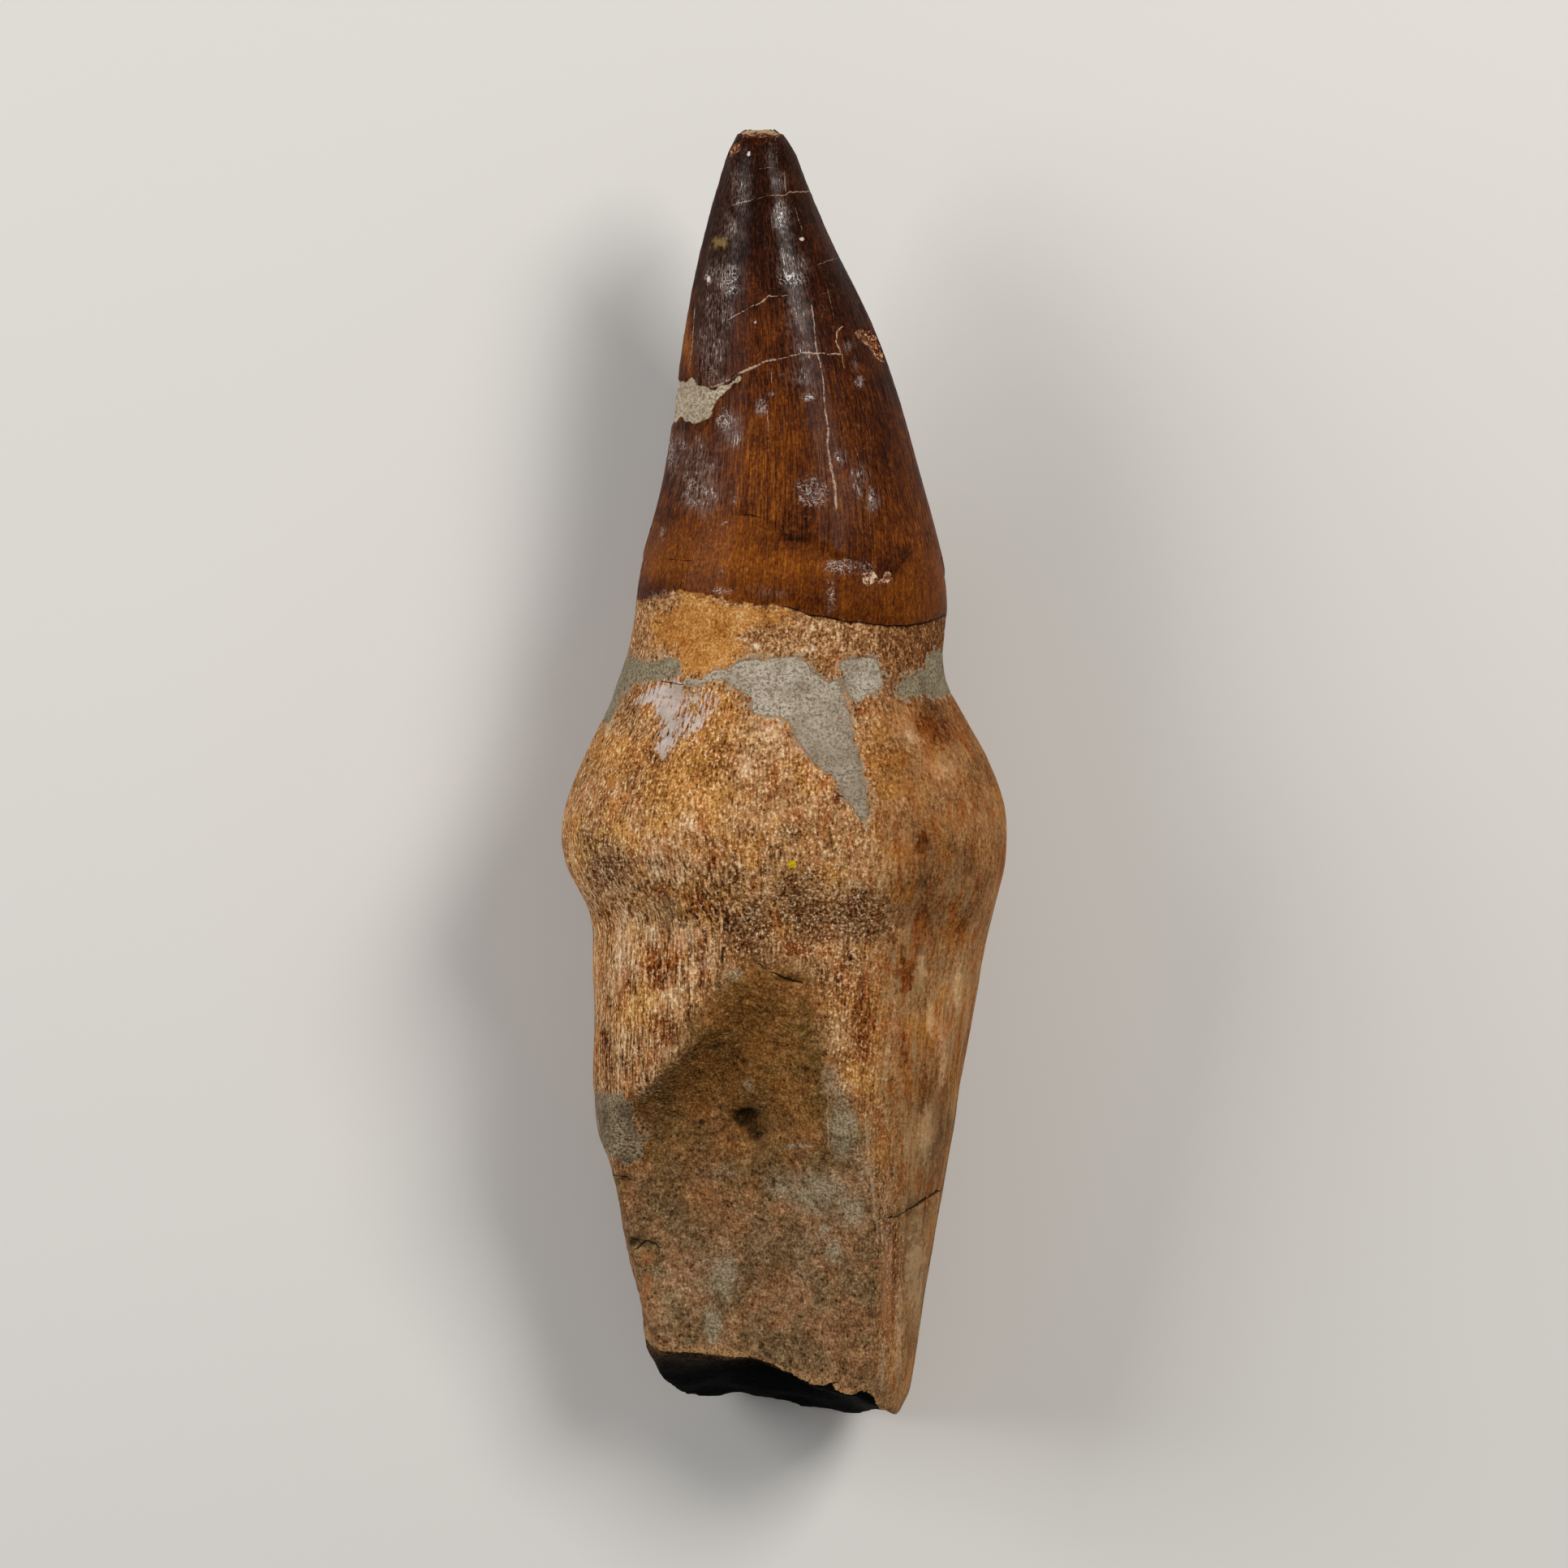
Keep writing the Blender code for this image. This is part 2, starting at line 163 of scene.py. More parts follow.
def blots(pixels: np.ndarray, marks: tuple[Blot, ...]) -> np.ndarray:
    """The strongest of some soft marks at each place."""
    return np.max([mark.at(pixels) for mark in marks], axis=0)


@dataclass(frozen=True)
class Crack:
    """A crack as a line through a few places of the photograph.

    Attributes:
        line: The places, in order.
        width: How wide it looks, in pixels.
        upright: Whether it runs down the tooth; otherwise it runs across.
    """

    line: tuple[tuple[float, float], ...]
    width: float
    upright: bool = False

    def at(self, pixels: np.ndarray) -> tuple[np.ndarray, np.ndarray]:
        """Where the crack is.

        Args:
            pixels: Places in the photograph.

        Returns:
            The signed distance to the line in millimetres, and how much of the crack is there, from 0 to 1.
        """
        places = np.array(self.line)
        run, side = (places[:, 1], places[:, 0]) if self.upright else (places[:, 0], places[:, 1])
        along, across = (pixels[:, 1], pixels[:, 0]) if self.upright else (pixels[:, 0], pixels[:, 1])
        slope = np.interp(along, (run[1:] + run[:-1]) / 2, np.diff(side) / np.diff(run))
        offset = (across - np.interp(along, run, side)) / np.hypot(1.0, slope)
        past = np.maximum(run[0] - along, along - run[-1])
        there = ease(past, 5.0, -5.0) * ease(np.abs(offset), 14.0, 9.0)
        return offset / PIXELS_PER_MM, there * self.width / 3


# The crown's marks
CROWN_BASE = (
    (760.0, 745.0), (800.0, 738.0), (837.0, 727.0), (875.0, 735.0), (922.0, 744.0), (969.0, 748.0),
    (996.0, 758.0), (1042.0, 766.0), (1091.0, 771.0), (1118.0, 772.0), (1140.0, 768.0), (1170.0, 757.0),
)
ENAMEL_STEP = (
    (770.0, 652.0), (830.0, 638.0), (880.0, 634.0), (916.0, 632.0), (945.0, 643.0), (962.0, 656.0),
    (975.0, 665.0), (998.0, 667.0), (1013.0, 676.0), (1033.0, 686.0), (1055.0, 689.0), (1064.0, 698.0),
    (1082.0, 716.0), (1102.0, 706.0), (1113.0, 689.0), (1125.0, 677.0), (1170.0, 674.0),
)
CROWN_WARMTH = (
    (150.0, 0.3), (180.0, 0.2), (330.0, 0.2), (420.0, 0.36), (500.0, 0.46), (600.0, 0.54), (700.0, 0.6),
    (760.0, 0.5),
)
WARM_ENAMEL = (
    Blot(938, 412, 26, 40, 0.2), Blot(848, 420, 7, 46, 0.5), Blot(940, 560, 40, 80, 0.16),
    Blot(1075, 560, 30, 60, 0.08), Blot(925, 350, 10, 40, 0.1), Blot(880, 690, 70, 40, 0.1),
    Blot(960, 690, 60, 24, 0.08), Blot(1130, 745, 30, 24, 0.1), Blot(1010, 300, 24, 60, 0.06),
)
# Partly painted shade: darker blots where the crown's right flank, the column between its two sheens and
# the enamel's step lie in shade, with a few darker patches of the enamel itself
SHADED_AND_DARK_ENAMEL = (
    Blot(978, 662, 22, 8, 0.3), Blot(966, 650, 8, 12, 0.2), Blot(985, 645, 24, 16, 0.15),
    Blot(1045, 665, 40, 44, 0.14), Blot(1092, 698, 14, 12, 0.3), Blot(1112, 685, 10, 12, 0.22),
    Blot(1085, 550, 26, 80, 0.18), Blot(1096, 470, 20, 60, 0.2), Blot(1050, 350, 20, 70, 0.1),
    Blot(934, 270, 12, 60, 0.08), Blot(846, 526, 10, 6, 0.4), Blot(828, 590, 8, 50, 0.12),
    Blot(800, 725, 30, 14, 0.2),
)
# Painted reflection: where the crown shows the lamps' grey-purple sheen, which is painted into its colour
# and also lets the clear coat shine
PAINTED_SHEEN = (
    Blot(914, 230, 18, 55, 0.7), Blot(904, 290, 20, 44, 0.7), Blot(895, 340, 24, 40, 0.8),
    Blot(886, 385, 24, 40, 0.8), Blot(968, 300, 14, 40, 0.7), Blot(978, 362, 16, 30, 0.7),
    Blot(986, 430, 18, 36, 0.6), Blot(1050, 605, 22, 36, 0.3), Blot(930, 600, 24, 40, 0.25),
    Blot(880, 425, 22, 42, 1.0), Blot(903, 530, 17, 24, 0.9), Blot(862, 570, 28, 34, 0.9),
    Blot(862, 606, 30, 30, 0.9), Blot(838, 560, 14, 40, 0.7), Blot(880, 470, 26, 26, 0.6),
    Blot(950, 196, 12, 30, 0.5), Blot(958, 226, 11, 16, 0.9), Blot(963, 272, 13, 24, 1.2),
    Blot(975, 330, 22, 26, 0.9), Blot(984, 395, 17, 34, 0.8), Blot(988, 464, 24, 22, 0.7),
    Blot(1044, 428, 10, 8, 0.8), Blot(1052, 448, 6, 12, 0.8), Blot(1057, 471, 6, 7, 1.0),
    Blot(938, 500, 7, 12, 1.2), Blot(949, 486, 6, 4, 0.9), Blot(995, 489, 9, 4, 1.0),
    Blot(1036, 563, 9, 12, 0.9), Blot(1058, 590, 12, 26, 0.9), Blot(1074, 618, 10, 16, 0.9),
    Blot(1022, 733, 10, 22, 0.4), Blot(950, 730, 34, 11, 0.55), Blot(818, 655, 5, 12, 0.8),
)
# Painted highlights: where small glints of the lamps' reflection are painted on the crown, and where its
# clear coat and bumps shine
PAINTED_GLINTS = (
    Blot(999, 606, 16, 15, 1.2), Blot(1040, 698, 19, 7, 1.3), Blot(1023, 735, 7, 18, 0.7),
    Blot(974, 344, 14, 6, 1.3), Blot(962, 270, 6, 16, 0.8), Blot(901, 346, 10, 18, 0.9),
    Blot(876, 341, 5, 10, 0.8), Blot(893, 518, 8, 12, 0.8), Blot(906, 616, 4, 7, 0.8),
    Blot(856, 600, 18, 26, 0.45), Blot(940, 500, 5, 9, 1.2), Blot(995, 489, 7, 4, 1.0),
    Blot(1057, 471, 4, 6, 1.2), Blot(1031, 563, 4, 6, 0.9), Blot(1072, 612, 5, 10, 0.9),
    Blot(886, 703, 5, 3, 0.8), Blot(893, 643, 3, 3, 0.9), Blot(817, 655, 2, 10, 0.8),
    Blot(816, 733, 16, 5, 0.7), Blot(888, 728, 14, 4, 0.6), Blot(842, 552, 4, 12, 0.8),
    Blot(828, 560, 4, 30, 0.7), Blot(1066, 700, 10, 6, 0.9),
)
# Painted highlights: single white glint specks painted on the crown
GLINT_DOTS = (
    Blot(923.5, 190, 4, 4), Blot(930.5, 396, 4, 4), Blot(986.5, 295, 4, 4), Blot(963, 263, 3.6, 3.6, 0.9),
    Blot(1071, 615, 3.6, 5.0, 0.9), Blot(875, 344, 3.6, 7.0, 0.9), Blot(971, 341, 5.0, 3.6, 0.9),
)
PALE_SPECK = Blot(889, 301, 10, 9, 1.2)
RIGHT_CHIP = [
    (1052, 410), (1060, 405), (1070, 407), (1080, 420), (1089, 440), (1086, 447), (1076, 440), (1070, 428),
    (1060, 422),
]
TIP_CHIP = [(899, 190), (904, 180), (914, 175), (916, 182), (908, 190), (901, 195)]
STEP_CHIP = [
    (1060, 704), (1067, 705), (1073, 702), (1079, 711), (1086, 717), (1089, 708), (1094, 700), (1098, 709),
    (1102, 708), (1098, 715), (1088, 719), (1078, 717), (1071, 724), (1066, 720),
]
PALE_CRACKS = (
    Crack(((903, 254), (909, 251), (917, 250), (932, 245), (946, 242), (965, 241), (971, 237.5),
           (1001, 236.5)), 1.4),
    Crack(((932, 209), (942, 207), (958, 208)), 0.7),
    Crack(((899, 394), (907, 389), (918, 383), (926, 378), (940, 373), (947, 365), (954, 366), (970, 364)),
           2.0),
    Crack(((1006, 327), (1016, 323), (1030, 319)), 0.9),
    Crack(((1008, 364), (1026, 358)), 0.6),
    Crack(((872, 459), (884, 457)), 1.1),
    Crack(((876, 477), (890, 473), (904, 466), (911, 460), (920, 457), (934, 451), (941, 446), (964, 442)),
           4.2),
    Crack(((941, 446), (964, 442), (990, 435), (1012, 436), (1035, 437)), 2.8),
)
UPRIGHT_CRACKS = (
    Crack(((954, 171), (957, 207)), 1.0, True),
    Crack(((965, 212), (967, 240)), 1.0, True),
    Crack(((979, 258), (982, 270), (987, 284)), 1.4, True),
    Crack(((988, 340), (993, 358), (998, 376)), 0.8, True),
    Crack(((999, 376), (1001, 388), (1003, 406), (1005, 432)), 2.4, True),
    Crack(((1005, 432), (1010, 448), (1014, 474), (1015, 499)), 3.2, True),
    Crack(((1015, 499), (1020, 530), (1019, 548), (1022, 570), (1028, 599), (1030, 627)), 4.8, True),
    Crack(((1018, 355), (1026, 392)), 0.7, True),
    Crack(((1038, 402), (1030, 408), (1029, 422), (1034, 433)), 2.2, True),
    Crack(((1035, 437), (1039, 456)), 1.0, True),
    Crack(((858, 381), (855, 420), (851, 452)), 1.5, True),
    Crack(((951, 455), (951, 472)), 1.0, True),
    Crack(((946, 506), (947, 530), (947, 556)), 1.3, True),
    Crack(((1053, 553), (1058, 570), (1064, 583)), 1.5, True),
    Crack(((1069, 520), (1075, 600)), 0.5, True),
    Crack(((1068, 600), (1071, 660)), 0.6, True),
    Crack(((1020, 1343), (1021, 1380), (1021, 1416)), 1.5, True),
    Crack(((1054, 1400), (1060, 1440)), 1.0, True),
    Crack(((1067, 1363), (1070, 1420), (1075, 1470), (1081, 1513)), 4.0, True),
    Crack(((1089, 1650), (1087, 1680), (1086, 1714)), 4.0, True),
    Crack(((757, 1120), (759, 1180), (757, 1230)), 2.4, True),
    Crack(((772, 1130), (775, 1190), (777, 1225)), 2.0, True),
    Crack(((768, 1245), (766, 1290), (764, 1330)), 2.6, True),
    Crack(((1136, 1180), (1137, 1225)), 2.4, True),
    Crack(((1147, 1232), (1146, 1275)), 2.4, True),
    Crack(((1161, 1265), (1159, 1330)), 2.4, True),
    Crack(((1182, 1160), (1180, 1250)), 2.6, True),
    Crack(((1150, 1330), (1146, 1400)), 2.2, True),
    Crack(((1128, 1500), (1121, 1570)), 2.0, True),
)
DARK_CRACKS = (
    Crack(((968, 748), (983, 752), (996, 758), (1022, 761), (1042, 766), (1060, 767), (1091, 771),
           (1118, 772), (1140, 768), (1164, 759)), 2.4),
    Crack(((806, 766), (818, 769), (834, 772)), 1.2),
    Crack(((822, 689), (836, 690), (853, 691)), 1.0),
    Crack(((913, 634), (926, 635), (938, 638)), 1.4),
    Crack(((813, 838), (838, 843), (860, 838), (880, 832)), 1.4),
    Crack(((1086, 1502), (1108, 1500), (1130, 1485), (1156, 1467)), 4.2),
    Crack(((736, 1385), (754, 1387)), 2.2),
    Crack(((752, 1446), (770, 1452), (794, 1458)), 1.6),
    Crack(((784, 1540), (796, 1529), (813, 1537)), 3.2),
    Crack(((934, 1187), (944, 1196)), 1.6),
    Crack(((953, 1199), (968, 1206), (988, 1211)), 3.0),
    Crack(((968, 1212), (988, 1212)), 2.0),
    Crack(((1012, 1712), (1022, 1706), (1030, 1704)), 3.0),
)

# The marks of the neck and the swelling
YELLOW_PATCH = [
    (838, 725), (857, 727), (876, 736), (900, 743), (930, 748), (968, 750), (978, 757), (966, 765),
    (940, 770), (918, 778), (905, 790), (918, 800), (908, 822), (880, 830), (846, 834), (838, 826),
    (836, 806), (822, 798), (804, 790), (797, 770), (804, 756), (832, 752),
]
WHITE_PATCH = [
    (786, 868), (798, 850), (815, 840), (833, 841), (842, 853), (840, 868), (836, 877), (834, 892),
    (837, 903), (830, 912), (822, 924), (816, 936), (811, 921), (815, 909), (818, 898), (815, 883),
    (809, 872), (800, 864),
]
PALE_FIBRES = [
    (836, 850), (862, 853), (882, 857), (876, 872), (862, 890), (850, 900), (836, 908), (826, 900),
]
WHITISH = (
    Blot(752, 892, 6, 16, 1.3), Blot(938, 908, 44, 26, 0.8), Blot(824, 866, 16, 20, 0.9),
    Blot(812, 1066, 15, 20, 1.1), Blot(853, 1018, 7, 6, 1.4), Blot(920, 944, 14, 18, 0.9),
    Blot(966, 953, 12, 14, 0.5), Blot(1122, 911, 9, 20, 0.8), Blot(1162, 950, 20, 14, 0.6),
    Blot(765, 1166, 11, 50, 1.1), Blot(803, 1152, 8, 13, 1.2), Blot(848, 1150, 18, 24, 0.9),
    Blot(866, 1186, 20, 18, 0.6), Blot(828, 1228, 18, 10, 1.0), Blot(764, 1295, 8, 44, 0.9),
    Blot(822, 1296, 14, 16, 0.8), Blot(1136, 1196, 6, 26, 0.9), Blot(1147, 1255, 6, 26, 0.9),
    Blot(1160, 1300, 6, 40, 0.9), Blot(1180, 1205, 6, 50, 0.9), Blot(1098, 1430, 12, 40, 0.5),
    Blot(1140, 1400, 10, 50, 0.7), Blot(1128, 1560, 14, 60, 0.9), Blot(1112, 1660, 10, 40, 0.5),
    Blot(1000, 798, 8, 5, 1.2), Blot(935, 797, 16, 4, 1.0), Blot(822, 1590, 26, 50, 1.2),
    Blot(1092, 1550, 7, 80, 1.5), Blot(1108, 1640, 6, 60, 1.2), Blot(780, 1145, 10, 30, 0.7),
    Blot(1012, 1615, 14, 18, 0.7), Blot(940, 925, 34, 30, 0.35),
)
# Dark granular crust; the blots at the lower left of the swelling paint both crust and the soft shade that
# falls there
CRUST = (
    Blot(722, 1030, 16, 22, 0.7), Blot(748, 1062, 32, 30, 1.1), Blot(733, 1034, 26, 26, 0.9),
    Blot(776, 1106, 16, 12, 0.6), Blot(741, 990, 6, 22, 0.6), Blot(824, 1124, 12, 20, 0.6),
    Blot(924, 1146, 28, 34, 1.5), Blot(975, 1096, 26, 24, 1.0), Blot(1000, 1130, 40, 30, 1.2),
    Blot(1060, 1130, 40, 34, 1.3), Blot(1048, 1180, 16, 20, 0.9), Blot(974, 1026, 20, 14, 0.8),
    Blot(995, 1080, 26, 12, 0.7), Blot(946, 1190, 24, 12, 0.7), Blot(808, 1344, 24, 16, 1.0),
    Blot(981, 792, 12, 10, 0.9), Blot(948, 782, 16, 10, 0.5), Blot(816, 733, 20, 10, 0.9),
    Blot(890, 729, 16, 5, 0.8), Blot(1034, 978, 12, 12, 0.6),
)
RUSTY = (
    Blot(814, 1192, 24, 30, 1.1), Blot(820, 1268, 22, 30, 0.9), Blot(815, 1098, 14, 13, 1.0),
    Blot(877, 1068, 9, 20, 0.8), Blot(1136, 1038, 9, 13, 1.4), Blot(1033, 980, 11, 13, 0.9),
    Blot(1058, 874, 12, 11, 1.1), Blot(1064, 1270, 22, 60, 0.7), Blot(935, 1010, 30, 20, 0.35),
    Blot(980, 1170, 18, 8, 1.3), Blot(1116, 1205, 14, 28, 0.9), Blot(1112, 1292, 9, 30, 0.7),
    Blot(746, 1290, 7, 40, 0.7), Blot(770, 1210, 7, 50, 0.7), Blot(860, 1110, 16, 26, 0.8),
    Blot(1150, 900, 34, 34, 0.7), Blot(838, 792, 16, 8, 1.2), Blot(1150, 800, 14, 10, 0.8),
    Blot(1032, 812, 12, 8, 0.8), Blot(890, 1260, 10, 10, 0.4), Blot(1096, 1570, 12, 80, 1.2),
    Blot(1092, 1620, 10, 20, 1.0), Blot(797, 1550, 12, 10, 1.3), Blot(798, 1585, 8, 24, 0.9),
    Blot(940, 1288, 20, 10, 0.6), Blot(870, 1470, 26, 14, 0.5), Blot(850, 1500, 14, 14, 0.4),
)
GOLDEN = (
    Blot(850, 940, 90, 90, 1.1), Blot(760, 930, 50, 60, 0.9), Blot(885, 905, 26, 24, 0.6),
    Blot(790, 1000, 40, 40, 0.6), Blot(870, 815, 40, 18, 0.6), Blot(858, 738, 24, 10, 1.0),
    Blot(930, 758, 40, 10, 0.7), Blot(1120, 1100, 30, 30, 0.8), Blot(1170, 1160, 26, 40, 0.5),
    Blot(1170, 1060, 40, 30, 0.4), Blot(1110, 950, 90, 90, 0.5), Blot(1060, 1290, 30, 90, 0.8),
    Blot(1140, 1300, 50, 120, 0.5), Blot(790, 1240, 60, 90, 0.6), Blot(740, 1020, 60, 60, 0.7),
    Blot(850, 1110, 90, 40, 0.7), Blot(960, 1062, 90, 36, 0.5), Blot(1098, 1540, 12, 110, 1.0),
)
YELLOW_SPECK = Blot(975.5, 1065, 5.2, 4.4)
ROUGH_RIDGE = Blot(1096, 1570, 16, 100)

# The marks of the hollow and of the break
HOLLOW = [
    (908, 1194), (925, 1184), (950, 1184), (985, 1190), (1004, 1204), (1012, 1236), (1018, 1290),
    (1030, 1340), (1056, 1362), (1074, 1400), (1082, 1460), (1088, 1520), (1090, 1640), (1087, 1740),
    (1089, 1790), (700, 1790), (700, 1440), (745, 1432), (780, 1436), (795, 1410), (780, 1360), (796, 1348),
    (822, 1312), (842, 1270), (862, 1236), (884, 1210),
]
# Dark pits and holes, painted near black: partly their own dark colour, partly painted shade in the holes
DARK_SPOTS = (
    Blot(920, 1378, 18, 13, 1.5), Blot(932, 1394, 14, 13, 1.3), Blot(928, 1384, 34, 24, 0.5),
    Blot(906, 1370, 8, 5, 0.7), Blot(936, 1412, 12, 12, 0.6), Blot(945, 1384, 22, 12, 0.5),
    Blot(905, 1425, 16, 8, 0.5), Blot(975, 1386, 24, 10, 0.5), Blot(863, 1384, 7, 5, 1.0),
    Blot(994, 1333, 6, 5, 0.8), Blot(916, 1310, 3, 16, 0.7), Blot(972, 1205, 18, 6, 0.9),
    Blot(890, 1430, 10, 6, 0.4), Blot(772, 1452, 14, 8, 0.8), Blot(782, 1530, 12, 6, 0.9),
    Blot(800, 1534, 12, 5, 0.9), Blot(790, 1518, 5, 4, 0.7), Blot(786, 1556, 6, 5, 0.7),
    Blot(808, 1592, 8, 4, 0.9), Blot(1075, 1621, 8, 5, 1.2), Blot(1082, 716, 4, 3, 1.4),
    Blot(1086, 1377, 3, 6, 1.0), Blot(897, 1500, 5, 5, 0.4), Blot(919, 1526, 4, 4, 0.5),
    Blot(762, 1386, 18, 3, 0.6),
)
GREY_FILM = (
    Blot(1036, 1285, 14, 18, 0.8), Blot(1028, 1335, 20, 26, 0.7), Blot(1040, 1390, 18, 46, 1.0),
    Blot(1060, 1440, 14, 40, 0.7), Blot(1010, 1470, 44, 30, 1.0), Blot(965, 1462, 26, 22, 0.7),
    Blot(1050, 1488, 26, 28, 0.9), Blot(1000, 1530, 40, 30, 0.45), Blot(1017, 1514, 7, 7, 1.3),
    Blot(1026, 1540, 14, 20, 0.7), Blot(892, 1572, 22, 30, 0.9), Blot(878, 1632, 12, 24, 1.0),
    Blot(984, 1412, 18, 3, 1.2), Blot(902, 1197, 12, 9, 1.1), Blot(921, 1338, 9, 12, 0.6),
    Blot(885, 1445, 30, 16, 0.4), Blot(870, 1560, 40, 60, 0.35), Blot(990, 1560, 30, 50, 0.3),
)
OLIVE = (
    Blot(930, 1250, 50, 50, 1.0), Blot(900, 1330, 70, 50, 0.9), Blot(960, 1360, 50, 50, 0.9),
    Blot(985, 1540, 20, 60, 0.5), Blot(830, 1450, 50, 40, 0.5), Blot(824, 1124, 14, 20, 0.9),
    Blot(970, 1202, 30, 14, 1.0), Blot(1126, 1560, 18, 90, 1.0), Blot(1150, 1400, 20, 60, 0.5),
)
BREAK_EDGE = (
    (790.0, 1640.0), (800.0, 1656.0), (808.0, 1664.0), (817.0, 1667.0), (860.0, 1667.0), (897.0, 1671.0),
    (933.0, 1681.0), (977.0, 1698.0), (1010.0, 1709.0), (1024.0, 1704.0), (1033.0, 1719.0),
    (1070.0, 1727.0), (1090.0, 1739.0), (1100.0, 1760.0), (1140.0, 1760.0),
)


class Repair(Enum):
    """The putty patches: the frame's node, how far down the flank each reaches, and its outline."""

    CROWN = ("crown_filler", 13.5, (
        (820, 467), (839, 468), (857, 469), (868, 474), (882, 478), (900, 469), (912, 463), (914, 467),
        (905, 472), (902, 480), (892, 488), (885, 492), (880, 507), (869, 520), (857, 523), (844, 518),
        (820, 521),
    ))
    NECK_FRONT = ("neck_filler_front", 18.0, (
        (845, 839), (862, 836), (880, 827), (903, 823), (915, 817), (933, 811), (950, 815), (962, 812),
        (977, 811), (992, 814), (1000, 825), (1014, 835), (1030, 843), (1040, 857), (1045, 871),
        (1046, 889), (1051, 906), (1055, 927), (1059, 945), (1064, 968), (1067, 998), (1066, 1012),
        (1058, 1004), (1054, 994), (1045, 984), (1038, 970), (1026, 958), (1014, 948), (1004, 936),
        (992, 927), (986, 914), (978, 898), (962, 884), (945, 881), (930, 877), (920, 870), (924, 862),
        (912, 851), (898, 841), (880, 838), (862, 841),
    ))
    NECK_SMALL = ("neck_filler_small", 18.0, (
        (1042, 818), (1061, 810), (1080, 814), (1088, 829), (1091, 844), (1080, 850), (1069, 855),
        (1057, 863), (1046, 852), (1040, 836),
    ))
    NECK_RIGHT = ("neck_filler_right", 11.0, (
        (1185, 798), (1161, 803), (1150, 810), (1148, 821), (1122, 833), (1106, 842), (1103, 853),
        (1114, 861), (1136, 852), (1155, 855), (1190, 850),
    ))
    NECK_LEFT = ("neck_filler_left", 10.5, (
        (740, 800), (779, 808), (798, 818), (832, 814), (836, 828), (813, 836), (783, 837), (764, 852),
        (752, 890), (720, 880),
    ))
    ROOT = ("root_filler", 9.5, (
        (700, 1347), (740, 1350), (765, 1350), (775, 1370), (779, 1394), (795, 1404), (790, 1425),
        (778, 1436), (765, 1430), (750, 1420), (735, 1396), (700, 1390),
    ))

    def __init__(self, node: str, low: float, outline: tuple) -> None:
        """Keeps what a patch is made from.

        Args:
            node: The frame's node that the patch stands for.
            low: The level that it reaches down to on the flank, in millimetres.
            outline: Its outline in the photograph, in pixels.
        """
        self.node = node
        self.outline = list(outline)
        self.low = low


def put_in_view(points: np.ndarray) -> np.ndarray:
    """Where points appear in the photograph.

    Args:
        points: Places in millimetres, one a row.

    Returns:
        Their columns and rows in pixels.
    """
    scale = PIXELS_PER_MM * (CAMERA_HEIGHT - PHOTO_LEVEL) / (CAMERA_HEIGHT - points[:, 2])
    column = PHOTO_SIDE / 2 + (points[:, 0] - PHOTO_MIDDLE[0]) * scale
    row = PHOTO_SIDE / 2 - (points[:, 1] - PHOTO_MIDDLE[1]) * scale
    return np.stack([column, row], axis=1)


def activate(piece: bpy.types.Object) -> None:
    """Makes a piece the only one that is selected, and the active one.

    Args:
        piece: The piece.
    """
    bpy.ops.object.select_all(action="DESELECT")
    piece.select_set(True)
    bpy.context.view_layer.objects.active = piece


def apply_modifier(piece: bpy.types.Object, kind: str, **settings: object) -> None:
    """Adds a modifier to a piece and applies it.

    Args:
        piece: The piece.
        kind: The modifier's type.
        **settings: The modifier's own settings.
    """
    activate(piece)
    modifier = piece.modifiers.new(kind.lower(), kind)
    for name, value in settings.items():
        setattr(modifier, name, value)
    bpy.ops.object.modifier_apply(modifier=modifier.name)


def points_of(piece: bpy.types.Object) -> np.ndarray:
    """Where a piece's points are.

    Args:
        piece: The piece.

    Returns:
        Their places in millimetres, one a row.
    """
    places = np.empty(len(piece.data.vertices) * 3)
    piece.data.vertices.foreach_get("co", places)
    return places.reshape(-1, 3) / MM


def normals_of(piece: bpy.types.Object) -> np.ndarray:
    """Which way a piece faces at its points.

    Args:
        piece: The piece.

    Returns:
        The outward directions, one a row.
    """
    ways = np.empty(len(piece.data.vertices) * 3)
    piece.data.vertices.foreach_get("normal", ways)
    return ways.reshape(-1, 3)


def move_points(piece: bpy.types.Object, points: np.ndarray) -> None:
    """Puts a piece's points at new places, given in millimetres."""
    piece.data.vertices.foreach_set("co", (points * MM).ravel())
    piece.data.update()


def keep_marks(piece: bpy.types.Object, name: str, *values: np.ndarray) -> None:
    """Stores up to three values for each point of a piece, for its material to read.

    Args:
        piece: The piece.
        name: The name of the attribute.
        *values: The values, in the order X, Y, Z.
    """
    columns = list(values) + [np.zeros(len(values[0]))] * (3 - len(values))
    marks = piece.data.attributes.new(name, "FLOAT_VECTOR", "POINT")
    marks.data.foreach_set("vector", np.stack(columns, axis=1).astype(np.float32).ravel())


